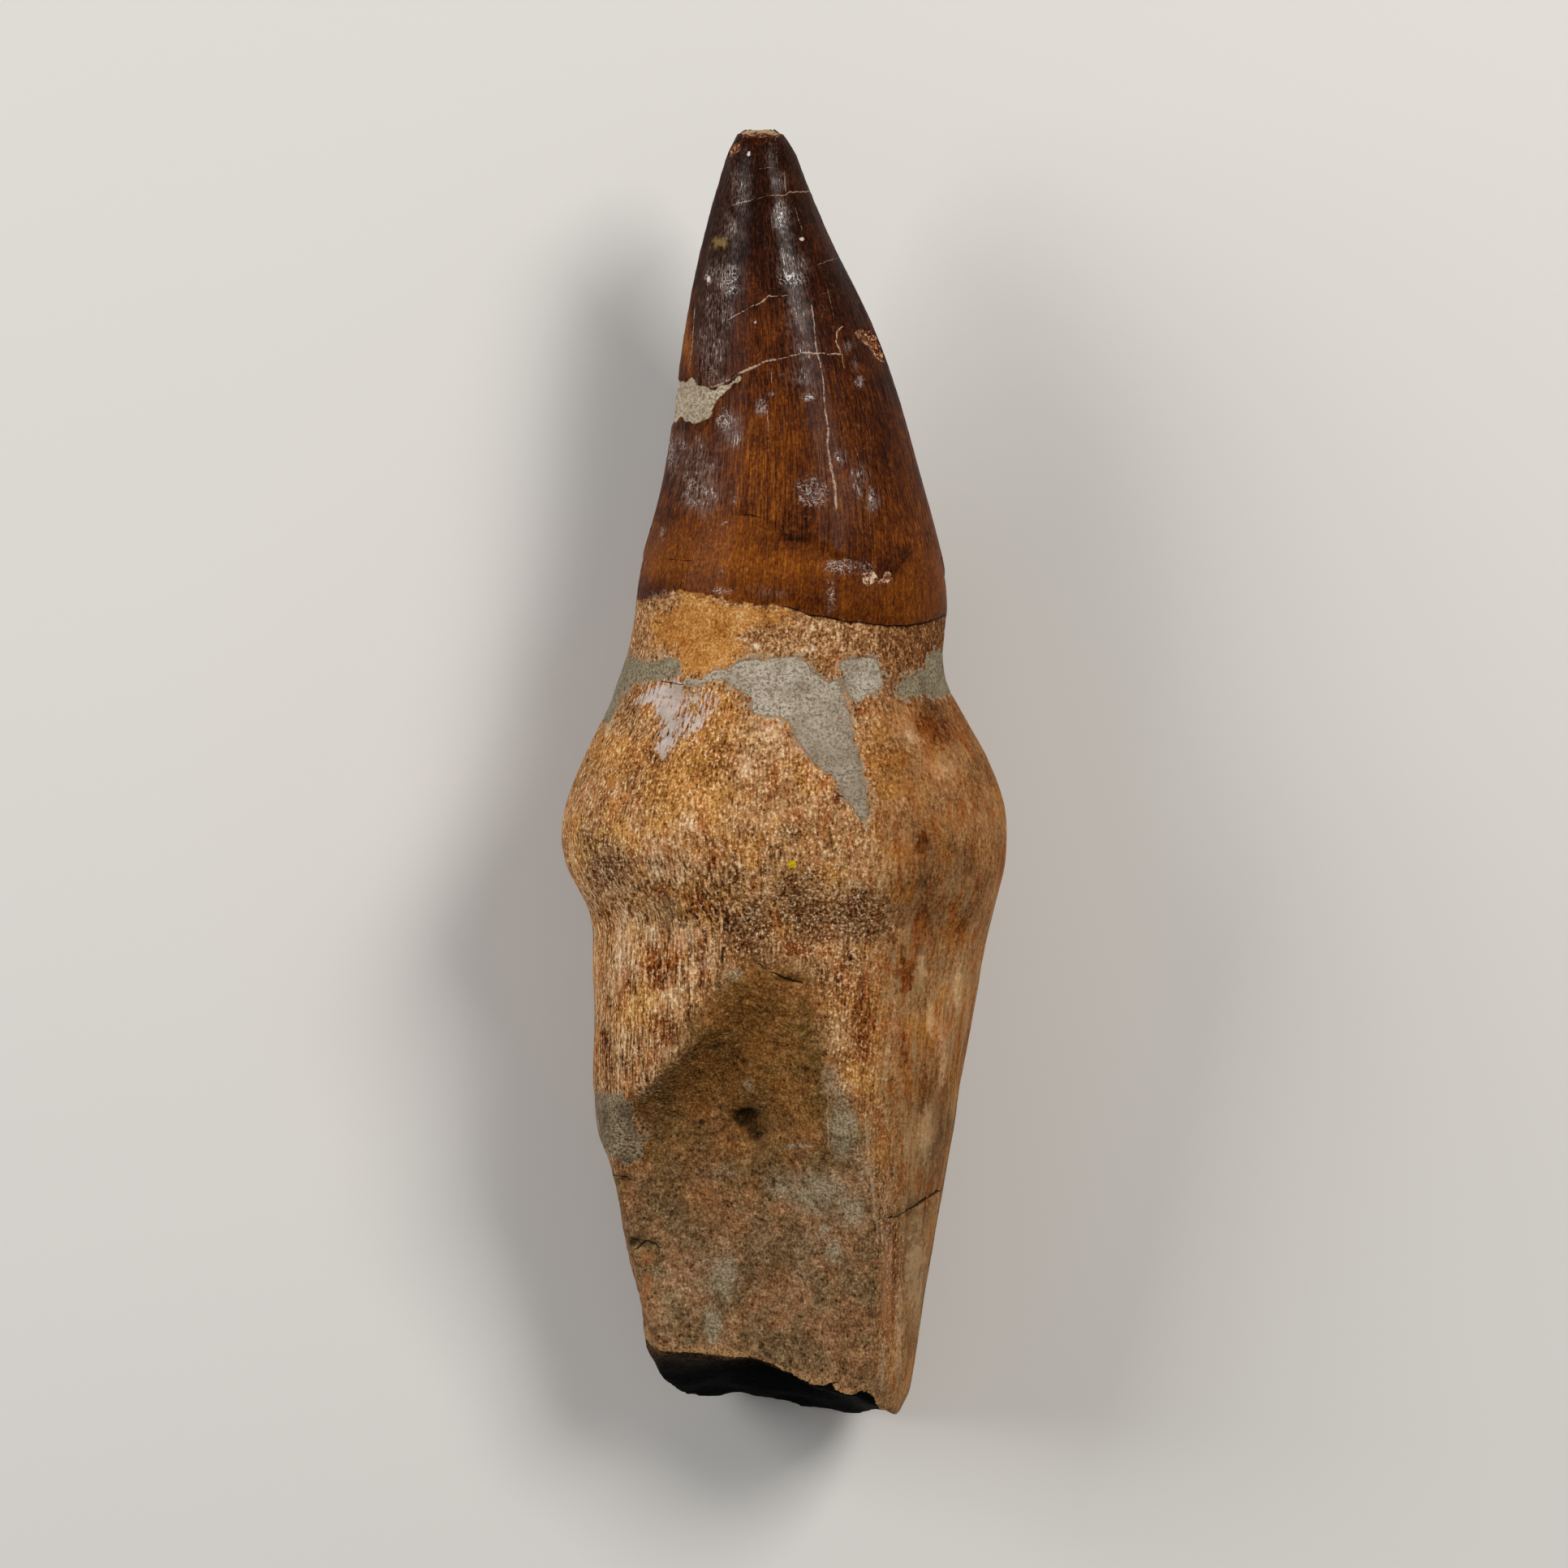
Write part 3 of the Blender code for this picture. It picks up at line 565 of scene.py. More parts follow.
@dataclass
class Skin:
    """The outside of the whole tooth as one fine closed mesh, before its details.

    Attributes:
        grain: The size of the voxels that join the nodes.
        swell: How far the nodes are swollen before, so that the gaps between them close.
        first_smoothing: How often the voxels' steps are smoothed.
        smoothing: How often the broad forms are smoothed after that.
        smoothing_steps: How many strengths of smoothing there are.
        held_back: How much of the smoothing the rims are spared.
        rim_width: How wide the spared rim of the hollow is.
        tip_end: Between which places along the tooth the sparing of the tip begins.
        root_end: Between which places along the tooth the sparing of the break begins.
        piece: The mesh, with its points in metres.
        points: Its points in millimetres.
        normals: The outward directions at the points.
        pixels: Where the points appear in the photograph.
    """

    grain: float = 0.338
    swell: float = 0.17
    first_smoothing: int = 3
    smoothing: int = 16
    smoothing_steps: int = 10
    held_back: float = 0.85
    rim_width: float = 0.8
    tip_end: tuple[float, float] = (49.0, 50.5)
    root_end: tuple[float, float] = (-43.0, -46.0)
    piece: bpy.types.Object = field(init=False)
    points: np.ndarray = field(init=False)
    normals: np.ndarray = field(init=False)
    pixels: np.ndarray = field(init=False)

    def build(self, nodes: list[str]) -> None:
        """Joins copies of the frame's nodes, closes the gaps between them and smooths the result.

        Args:
            nodes: The names of the nodes.
        """
        bpy.ops.object.select_all(action="DESELECT")
        copies = [self.copy_node(name) for name in nodes]
        for copy in copies:
            copy.select_set(True)
        bpy.context.view_layer.objects.active = copies[0]
        bpy.ops.object.join()
        self.piece = copies[0]
        apply_modifier(self.piece, "DISPLACE", strength=self.swell * MM, mid_level=0.0)
        apply_modifier(self.piece, "REMESH", mode="VOXEL", voxel_size=self.grain * MM,
                       use_smooth_shade=True)
        self.drop_inner_shells()
        apply_modifier(self.piece, "DISPLACE", strength=-self.swell * MM, mid_level=0.0)
        apply_modifier(self.piece, "SMOOTH", factor=0.5, iterations=self.first_smoothing)
        self.smooth_broad_forms()
        self.points = points_of(self.piece)
        self.normals = normals_of(self.piece)
        self.pixels = put_in_view(self.points)
        LOG.info("skin: %d points", len(self.points))

    @staticmethod
    def copy_node(name: str) -> bpy.types.Object:
        """Copies a node and merges its loose triangles.

        Args:
            name: The node's name.

        Returns:
            The copy.
        """
        copy = frame["nodes"][name].copy()
        copy.data = copy.data.copy()
        copy.data.materials.clear()
        copy.parent = None
        for key in list(copy.keys()):
            del copy[key]
        bpy.context.scene.collection.objects.link(copy)
        shape = bmesh.new()
        shape.from_mesh(copy.data)
        bmesh.ops.remove_doubles(shape, verts=shape.verts, dist=1e-6)
        shape.to_mesh(copy.data)
        shape.free()
        return copy

    def drop_inner_shells(self) -> None:
        """Deletes every closed shell but the outer one."""
        activate(self.piece)
        bpy.ops.object.mode_set(mode="EDIT")
        bpy.ops.mesh.select_all(action="DESELECT")
        bpy.ops.object.mode_set(mode="OBJECT")
        self.piece.data.vertices[int(points_of(self.piece)[:, 2].argmax())].select = True
        bpy.ops.object.mode_set(mode="EDIT")
        bpy.ops.mesh.select_mode(type="VERT")
        bpy.ops.mesh.select_linked()
        bpy.ops.mesh.select_all(action="INVERT")
        bpy.ops.mesh.delete(type="VERT")
        bpy.ops.object.mode_set(mode="OBJECT")

    def smooth_broad_forms(self) -> None:
        """Smooths the facets away, but less at the rims of the tip, the hollow and the break."""
        points = points_of(self.piece)
        pixels = put_in_view(points)
        rim = np.exp(-(inside(pixels, HOLLOW) / self.rim_width) ** 2) * (points[:, 2] > PHOTO_LEVEL)
        ends = np.maximum(ease(points[:, 1], *self.tip_end), ease(points[:, 1], *self.root_end))
        weight = 1 - self.held_back * np.clip(rim + ends, 0, 1)
        group = self.piece.vertex_groups.new(name="broad")
        for step in range(self.smoothing_steps):
            low, high = step / self.smoothing_steps, (step + 1) / self.smoothing_steps
            chosen = np.flatnonzero((weight > low) & (weight <= high))
            group.add(chosen.tolist(), high, "REPLACE")
        apply_modifier(self.piece, "SMOOTH", factor=0.5, iterations=self.smoothing, vertex_group="broad")


def repair_distance(skin: Skin, repair: Repair) -> np.ndarray:
    """How far inside a putty patch each point of the skin is.

    Args:
        skin: The skin.
        repair: The patch.

    Returns:
        The distance of each point to the patch's ragged edge in millimetres, negative outside it.
    """
    ragged = 0.36 * ripple(skin.points, (1.0, 1.0, 1.0), 31.0)
    ragged += 0.26 * ripple(skin.points, (2.6, 2.6, 2.6), 33.0)
    low_end = skin.points[:, 2] - repair.low + 2.2 * ripple(skin.points, (3.1, 3.1, 3.1), 7.0)
    not_under = skin.normals[:, 2] * 8 + 6
    return np.minimum(np.minimum(inside(skin.pixels, repair.outline) + ragged, low_end), not_under)


def along_grain(points: np.ndarray, usual: float = 12.0, power: float = 0.6) -> np.ndarray:
    """Places moved so that streaks drawn straight along Y follow the narrowing outline of the tooth.

    Args:
        points: Places in millimetres, one a row.
        usual: The half width at which nothing is moved.
        power: How fully the streaks follow the outline, from 0 to 1.

    Returns:
        The moved places.
    """
    levels = np.arange(points[:, 1].min() + 1.0, points[:, 1].max() - 1.0, 1.5)
    slices = [points[np.abs(points[:, 1] - level) < 1.5] for level in levels]
    lows = np.array([part.min(axis=0) for part in slices])
    highs = np.array([part.max(axis=0) for part in slices])
    spread = np.column_stack([(lows + highs) / 2, (highs - lows)[:, 0] / 2])
    padded = np.pad(spread, ((4, 4), (0, 0)), mode="edge")
    smooth = np.array([padded[place:place + 9].mean(axis=0) for place in range(len(levels))])
    middle_x, _, middle_z, half = (np.interp(points[:, 1], levels, column) for column in smooth.T)
    stretch = (usual / half) ** power
    aside, up = (points[:, 0] - middle_x) * stretch, (points[:, 2] - middle_z) * stretch
    return np.stack([aside, points[:, 1], up], axis=1)


class Marks:
    """Every mark of the surface as a value at each point of the skin.

    Attributes:
        front: Whether the photograph shows the point, from 0 to 1.
        back: What takes the unseen side out of the outlines, in millimetres.
        grainwise: The place that streaks are drawn on.
        facing: Between which upward directions a point comes into view.
        out_of_view: How far outside every outline the unseen side counts as lying.
        back_step: How far above the crown's base the enamel's step lies on the unseen side.
        fibre_reach: How fully the white patch covers its fibres, as a distance inside its outline.
        tip_flat: Between which places along the tooth the tip's worn flat begins.
        break_start: Between which places along the tooth the back of the break begins.
        bone_corner: Between which columns bone is left at the break's right end.
    """

    facing: tuple[float, float] = (-0.15, 0.25)
    out_of_view: float = -2.0
    back_step: float = 3.5
    fibre_reach: float = -0.08
    tip_flat: tuple[float, float] = (51.1, 51.4)
    break_start: tuple[float, float] = (-32.0, -34.0)
    bone_corner: tuple[float, float] = (1076.0, 1088.0)

    def __init__(self, skin: Skin) -> None:
        """Works the marks out.

        Args:
            skin: The skin that carries them.
        """
        self.front = ease(skin.normals[:, 2], *self.facing)
        self.back = self.out_of_view * (1 - self.front)
        self.grainwise = along_grain(skin.points)
        self.find_zones(skin)
        self.find_stains(skin.pixels)
        self.find_wear(skin)
        self.pale_crack = self.nearest(skin.pixels, PALE_CRACKS)
        self.upright_crack = self.nearest(skin.pixels, UPRIGHT_CRACKS)
        self.dark_crack = self.nearest(skin.pixels, DARK_CRACKS)

    def find_zones(self, skin: Skin) -> None:
        """Finds crown, root, hollow, putty and patches, and how warm the enamel and how rough the bone is.

        Args:
            skin: The skin.
        """
        pixels = skin.pixels
        column, row = pixels[:, 0], pixels[:, 1]
        self.base = (row - np.interp(column, *zip(*CROWN_BASE))) / PIXELS_PER_MM
        step = (row - np.interp(column, *zip(*ENAMEL_STEP))) / PIXELS_PER_MM
        self.step = np.where(self.front > 0.5, step, self.base + self.back_step)
        self.warmth = np.interp(row, *zip(*CROWN_WARMTH))
        # The darker blots lower the warmth: partly painted shade, partly darker enamel
        self.warmth += self.front * (blots(pixels, WARM_ENAMEL) - blots(pixels, SHADED_AND_DARK_ENAMEL))
        self.hollow = inside(pixels, HOLLOW) + self.back
        self.putty = np.max([repair_distance(skin, repair) for repair in Repair], axis=0)
        fibrous = np.minimum(inside(pixels, PALE_FIBRES), self.fibre_reach)
        self.white = np.maximum(inside(pixels, WHITE_PATCH), fibrous) + self.back
        self.yellow = inside(pixels, YELLOW_PATCH) + self.back
        self.rough = 1 - self.front * 0.6 * ease(column, 1040.0, 1120.0) - 0.3 * (1 - self.front)
        self.rough += 0.5 * self.front * ROUGH_RIDGE.at(pixels)

    def find_stains(self, pixels: np.ndarray) -> None:
        """Finds the films, stains and specks, and where the sheen and the glints are painted.

        Args:
            pixels: Where the points appear in the photograph.
        """
        self.painted_sheen = self.front * blots(pixels, PAINTED_SHEEN)
        self.painted_glints = self.front * blots(pixels, PAINTED_GLINTS)
        self.whitish = self.front * blots(pixels, WHITISH)
        self.crust = self.front * blots(pixels, CRUST)
        self.rusty = self.front * blots(pixels, RUSTY)
        self.speck = self.front * YELLOW_SPECK.at(pixels)
        self.dark = self.front * blots(pixels, DARK_SPOTS)
        self.film = self.front * blots(pixels, GREY_FILM)
        self.olive = self.front * blots(pixels, OLIVE)
        self.glint_dots = self.front * blots(pixels, GLINT_DOTS)
        golden = self.front * blots(pixels, GOLDEN) + 0.4 * (1 - self.front)
        self.golden = ease(self.base, -0.4, 0.4) * golden + self.front * PALE_SPECK.at(pixels)

    def find_wear(self, skin: Skin) -> None:
        """Finds the chips, the worn tip and the break.

        Args:
            skin: The skin.
        """
        column, row = skin.pixels[:, 0], skin.pixels[:, 1]
        height, upward = skin.points[:, 1], skin.normals[:, 1]
        outlines = (RIGHT_CHIP, TIP_CHIP, STEP_CHIP)
        chips = np.max([inside(skin.pixels, outline) for outline in outlines], axis=0)
        worn = ease(height, *self.tip_flat) * ease(upward, 0.55, 0.8) * 0.6
        self.chip = np.maximum(chips + self.back, worn - 0.3)
        edge = (row - np.interp(column, *zip(*BREAK_EDGE))) / PIXELS_PER_MM
        turned = 2 * ease(-upward, 0.35, 0.65) * ease(height, *self.break_start) - 1
        turned -= 3 * self.front * ease(column, *self.bone_corner)
        self.broken = np.clip(np.maximum(np.where(self.front > 0.5, edge, -3.0), turned), -3.0, 1.0)

    def nearest(self, pixels: np.ndarray, cracks: tuple[Crack, ...]) -> tuple[np.ndarray, np.ndarray]:
        """Finds the crack that is strongest at each point.

        Args:
            pixels: Where the points appear in the photograph.
            cracks: The cracks.

        Returns:
            The signed distance to it in millimetres, and its strength.
        """
        offsets, strengths = zip(*(crack.at(pixels) for crack in cracks))
        strongest = np.argmax(strengths, axis=0)[None]
        offset = np.take_along_axis(np.array(offsets), strongest, axis=0)[0]
        return offset, np.max(strengths, axis=0) * self.front

    def keep(self, piece: bpy.types.Object) -> None:
        """Stores the marks on a piece whose points are the skin's.

        Args:
            piece: The piece.
        """
        keep_marks(piece, "grainwise", *self.grainwise.T)
        keep_marks(piece, "bone", self.rough, self.golden, self.glint_dots)
        keep_marks(piece, "zones", self.base, self.step, self.hollow)
        keep_marks(piece, "patches", self.putty, self.white, self.yellow)
        keep_marks(piece, "crown", self.warmth, self.painted_sheen, self.painted_glints)
        keep_marks(piece, "stains", self.crust, self.rusty, self.whitish)
        keep_marks(piece, "spots", self.dark, self.film, self.speck)
        keep_marks(piece, "wear", self.chip, self.broken, self.olive)
        keep_marks(piece, "across_cracks", *self.pale_crack)
        keep_marks(piece, "down_cracks", *self.upright_crack)
        keep_marks(piece, "dark_cracks", *self.dark_crack)


@dataclass
class Relief:
    """Heights of the sculpted details, in millimetres.

    Attributes:
        bone_swell: The broad waves of the bone.
        bone_lump: The lumps of the bone.
        bone_fibre: The fibres of the bone.
        crust_grain: The grain of the dark crust.
        hollow_lump: The lumps of the hollow's floor.
        hollow_grain: The grain of the hollow's floor.
        neck_pits: The pits just below the crown.
        enamel_facet: The broad facets of the crown.
        enamel_rib: The narrow ribs of the crown.
        enamel_step: The step above which the enamel is thicker.
        enamel_edge: The enamel's lower edge.
        chip: The depth of the chips.
        crack: The depth of the dark cracks.
        break_grain: The grain of the break.
        under_putty: How far the body lies below the putty.
        dark_pit: The depth of the dark pits.
        rim: The rim of the hollow.
    """

    bone_swell: float = 0.18
    bone_lump: float = 0.06
    bone_fibre: float = 0.05
    crust_grain: float = 0.18
    hollow_lump: float = 0.13
    hollow_grain: float = 0.09
    neck_pits: float = 0.13
    enamel_facet: float = 0.07
    enamel_rib: float = 0.03
    enamel_step: float = 0.12
    enamel_edge: float = 0.03
    chip: float = 0.3
    crack: float = 0.14
    break_grain: float = 0.14
    under_putty: float = 0.3
    dark_pit: float = 0.4
    rim: float = 0.05

    def of(self, skin: Skin, marks: Marks) -> np.ndarray:
        """How far each point of the skin is moved outwards.

        Args:
            skin: The skin.
            marks: Its marks.

        Returns:
            The move of each point.
        """
        points, grainwise = skin.points, marks.grainwise
        bone = ease(marks.base, -0.2, 0.5)
        hollow = ease(marks.hollow, -0.1, 0.5)
        broken = ease(marks.broken, -0.1, 0.3)
        neck = bone * ease(marks.base, 5.2, 3.2) * (1 - 0.7 * ease(marks.yellow, -0.5, 0.5))
        plain = bone * (1 - hollow) * (1 - broken) * (0.4 + 0.6 * marks.rough)
        ripples = ripple(points, (0.85, 0.85, 0.85), 3.0)
        fine = ripple(points, (0.5, 0.5, 0.5), 17.0)
        height = bone * (1 - broken) * self.bone_swell * ripple(points, (5.0, 7.0, 5.0), 1.0)
        height += plain * self.bone_lump * (ripple(points, (1.9, 2.6, 1.9), 5.0) + 0.3 * ripples)
        height += plain * self.bone_fibre * ripple(grainwise, (0.75, 5.5, 0.75), 9.0)
        height += (1 - hollow) * marks.crust * self.crust_grain * (np.abs(ripples) + 0.5 * fine - 0.15)
        height += hollow * (1 - broken) * self.hollow_lump * ripple(points, (2.1, 2.4, 2.1), 13.0)
        height += hollow * (1 - broken) * self.hollow_grain * (ripples + 0.4 * fine)
        height -= neck * self.neck_pits * np.maximum(ripples + 0.4 * fine, 0)
        height += (1 - bone) * self.enamel_facet * ripple(grainwise, (2.4, 22.0, 2.4), 21.0)
        height += (1 - bone) * self.enamel_rib * ripple(grainwise, (0.8, 16.0, 0.8), 23.0)
        height += self.enamel_step * ease(marks.step, 0.15, -0.15) + self.enamel_edge * (1 - bone)
        height -= self.chip * ease(marks.chip, -0.1, 0.35) * (1 + 0.6 * ripples)
        height -= self.crack * marks.dark_crack[1] * np.exp(-((marks.dark_crack[0] / 0.25) ** 2))
        height += self.break_grain * broken * (ripple(points, (2.6, 2.6, 2.6), 27.0) + 0.3 * fine)
        height -= self.dark_pit * ease(marks.dark * (1 + 1.6 * ripples), 0.45, 1.2)
        height += self.rim * np.exp(-((marks.hollow / 0.5) ** 2)) * marks.front * (1 - broken)
        return height - self.under_putty * ease(marks.putty, -0.1, 0.3)


def paint(code: str) -> tuple[float, float, float, float]:
    """Turns a colour's code into what Blender's shaders take.

    Args:
        code: The six-digit code, with its leading sign.

    Returns:
        The linear colour, opaque.
    """
    parts = [int(code[place:place + 2], 16) / 255 for place in (1, 3, 5)]
    linear = [part / 12.92 if part <= 0.04045 else ((part + 0.055) / 1.055) ** 2.4 for part in parts]
    return (*linear, 1.0)


class Recipe:
    """A shader's node tree, filled one node at a time."""

    def __init__(self, tree: bpy.types.NodeTree) -> None:
        """Keeps the tree.

        Args:
            tree: The tree to fill.
        """
        self.tree = tree

    def node(self, kind: str, inputs: dict | None = None, **settings: object) -> bpy.types.Node:
        """Adds a node.

        Args:
            kind: The node's type, without the words that every shader node's type starts with.
            inputs: What goes into its sockets: another socket, or a value.
            **settings: The node's own settings.

        Returns:
            The node.
        """
        made = self.tree.nodes.new("ShaderNode" + kind)
        for name, value in settings.items():
            setattr(made, name, value)
        for name, value in (inputs or {}).items():
            if isinstance(value, Socket):
                self.tree.links.new(value, made.inputs[name])
            else:
                made.inputs[name].default_value = value
        return made

    def math(self, operation: str, first: Value, second: Value = 0.0) -> Socket:
        """Two values put together by an operation."""
        return self.node("Math", {0: first, 1: second}, operation=operation).outputs[0]

    def times(self, *values: Value) -> Socket:
        """Multiplies values.

        Args:
            *values: The values.

        Returns:
            Their product.
        """
        product = values[0]
        for value in values[1:]:
            product = self.math("MULTIPLY", product, value)
        return product

    def rise(self, value: Value, low: float, high: float, top: float = 1.0) -> Socket:
        """A smooth rise from 0 at low to the top at high."""
        inputs = {"Value": value, "From Min": low, "From Max": high, "To Max": top}
        return self.node("MapRange", inputs, interpolation_type="SMOOTHSTEP").outputs[0]

    def blend(self, share: Value, under: Colour, over: Colour, way: str = "MIX") -> Socket:
        """A mix of two colours."""
        mixed = self.node("Mix", {0: share, 6: under, 7: over}, data_type="RGBA", blend_type=way)
        return mixed.outputs[2]

    def vary(self, share: Value, under: Value, over: Value) -> Socket:
        """A mix of two values."""
        return self.node("Mix", {0: share, 2: under, 3: over}, data_type="FLOAT").outputs[0]

    def ramp(self, value: Value, stops: Stops) -> Socket:
        """Makes a colour that runs through stops.

        Args:
            value: What it depends on.
            stops: The values at which it has a colour of its own, and those colours' codes.

        Returns:
            The colour.
        """
        made = self.node("ValToRGB", {0: value})
        elements = made.color_ramp.elements
        for number, (at, code) in enumerate(stops):
            element = elements[number] if number < 2 else elements.new(at)
            element.position = at
            element.color = paint(code)
        return made.outputs[0]

    def invert(self, value: Value) -> Socket:
        """One less a value."""
        return self.math("SUBTRACT", 1.0, value)

    def marks(self, name: str) -> list[Socket]:
        """The three values that keep_marks stored under a name."""
        stored = self.node("Attribute", attribute_name=name, attribute_type="GEOMETRY")
        return list(self.node("SeparateXYZ", {0: stored.outputs["Vector"]}).outputs)


class Effect:
    """A shader node group that several finishes share.

    Attributes:
        tree: The group.
        given: Its inputs, as sockets inside the group.
        out: Its outputs, as sockets inside the group.
        recipe: What fills it.
    """

    def __init__(self, name: str, numbers: dict[str, float], outputs: tuple[str, ...],
                 placed: bool = True) -> None:
        """Makes an empty group.

        Args:
            name: The group's name.
            numbers: The inputs that are values, with their usual values.
            outputs: The outputs, each a value.
            placed: Whether the group also takes a place in millimetres.
        """
        self.tree = bpy.data.node_groups.new(name, "ShaderNodeTree")
        face = self.tree.interface
        if placed:
            face.new_socket("Place", in_out="INPUT", socket_type="NodeSocketVector")
        for label, value in numbers.items():
            face.new_socket(label, in_out="INPUT", socket_type="NodeSocketFloat").default_value = value
        for label in outputs:
            face.new_socket(label, in_out="OUTPUT", socket_type="NodeSocketFloat")
        self.given = self.tree.nodes.new("NodeGroupInput").outputs
        self.out = self.tree.nodes.new("NodeGroupOutput").inputs
        self.recipe = Recipe(self.tree)

    def finish(self, **values: Socket) -> "Effect":
        """Joins values to the group's outputs.

        Args:
            **values: The outputs by name.

        Returns:
            The effect itself.
        """
        for name, value in values.items():
            self.tree.links.new(value, self.out[name])
        return self

    def use(self, recipe: Recipe, **values: Value) -> list[Socket]:
        """Places the group in a tree.

        Args:
            recipe: The tree.
            **values: The group's inputs by name.

        Returns:
            The group's outputs.
        """
        return list(recipe.node("Group", values, node_tree=self.tree).outputs)


def make_streaks() -> Effect:
    """Makes noise drawn out along the tooth, for fibres, ribs and streaks.

    Returns:
        The effect.
    """
    effect = Effect("streaks", {"Across": 0.3, "Along": 3.0, "Detail": 3.0, "Seed": 0.0}, ("Value",))
    recipe, given = effect.recipe, effect.given
    across = recipe.math("DIVIDE", 1.0, given["Across"])
    along = recipe.math("DIVIDE", 1.0, given["Along"])
    sizes = recipe.node("CombineXYZ", {0: across, 1: along, 2: across}).outputs[0]
    inputs = {0: given["Place"], 1: sizes, 2: given["Seed"]}
    place = recipe.node("VectorMath", inputs, operation="MULTIPLY_ADD")
    inputs = {"Vector": place.outputs[0], "Scale": 1.0, "Detail": given["Detail"], "Roughness": 0.6}
    return effect.finish(Value=recipe.node("TexNoise", inputs).outputs[0])


def make_grains() -> Effect:
    """Makes separate grains: how bright each is, a number to choose some by, and their rounded height.

    Returns:
        The effect.
    """
    effect = Effect("grains", {"Size": 0.25, "Stretch": 1.0}, ("Tone", "Chance", "Height"))
    recipe, given = effect.recipe, effect.given
    across = recipe.math("DIVIDE", 1.0, given["Size"])
    along = recipe.math("DIVIDE", across, given["Stretch"])
    sizes = recipe.node("CombineXYZ", {0: across, 1: along, 2: across}).outputs[0]
    place = recipe.node("VectorMath", {0: given["Place"], 1: sizes}, operation="MULTIPLY").outputs[0]
    cells = recipe.node("TexVoronoi", {"Vector": place, "Scale": 1.0})
    tones = recipe.node("SeparateColor", {0: cells.outputs["Color"]}).outputs
    height = recipe.rise(cells.outputs["Distance"], 0.62, 0.15)
    return effect.finish(Tone=tones[0], Chance=tones[1], Height=height)


def make_ragged_edge() -> Effect:
    """Makes a patch with a ragged edge, from the distance inside its outline and some noise.

    Returns:
        The effect.
    """
    numbers = {"Distance": 0.0, "Noise": 0.5, "Ragged": 0.3, "Soft": 0.05}
    effect = Effect("ragged_edge", numbers, ("Mask",), False)
    recipe, given = effect.recipe, effect.given
    shift = recipe.times(recipe.math("SUBTRACT", given["Noise"], 0.5), 4.0, given["Ragged"])
    share = recipe.math("DIVIDE", recipe.math("ADD", given["Distance"], shift), given["Soft"])
    return effect.finish(Mask=recipe.rise(share, -1.0, 1.0))


def make_line() -> Effect:
    """Makes a thin wavering line, from the signed distance to it, its strength and some noise.

    Returns:
        The effect.
    """
    numbers = {"Offset": 0.0, "Strength": 0.0, "Noise": 0.5, "Patchy": 0.5, "Width": 0.1, "Waver": 0.08}
    effect = Effect("line", numbers, ("Mask",), False)
    recipe, given = effect.recipe, effect.given
    shift = recipe.times(recipe.math("SUBTRACT", given["Noise"], 0.5), 4.0, given["Waver"])
    away = recipe.math("ABSOLUTE", recipe.math("ADD", given["Offset"], shift))
    width = recipe.times(given["Width"], given["Strength"], recipe.rise(given["Patchy"], 0.3, 0.56))
    share = recipe.math("DIVIDE", away, recipe.math("ADD", width, 0.001))
    there = recipe.rise(given["Strength"], 0.05, 0.3)
    return effect.finish(Mask=recipe.times(recipe.rise(share, 1.2, 0.5), there))


@dataclass(frozen=True)
class Effects:
    """The shared effects, each built once."""

    streaks: Effect = field(default_factory=make_streaks)
    grains: Effect = field(default_factory=make_grains)
    edge: Effect = field(default_factory=make_ragged_edge)
    line: Effect = field(default_factory=make_line)


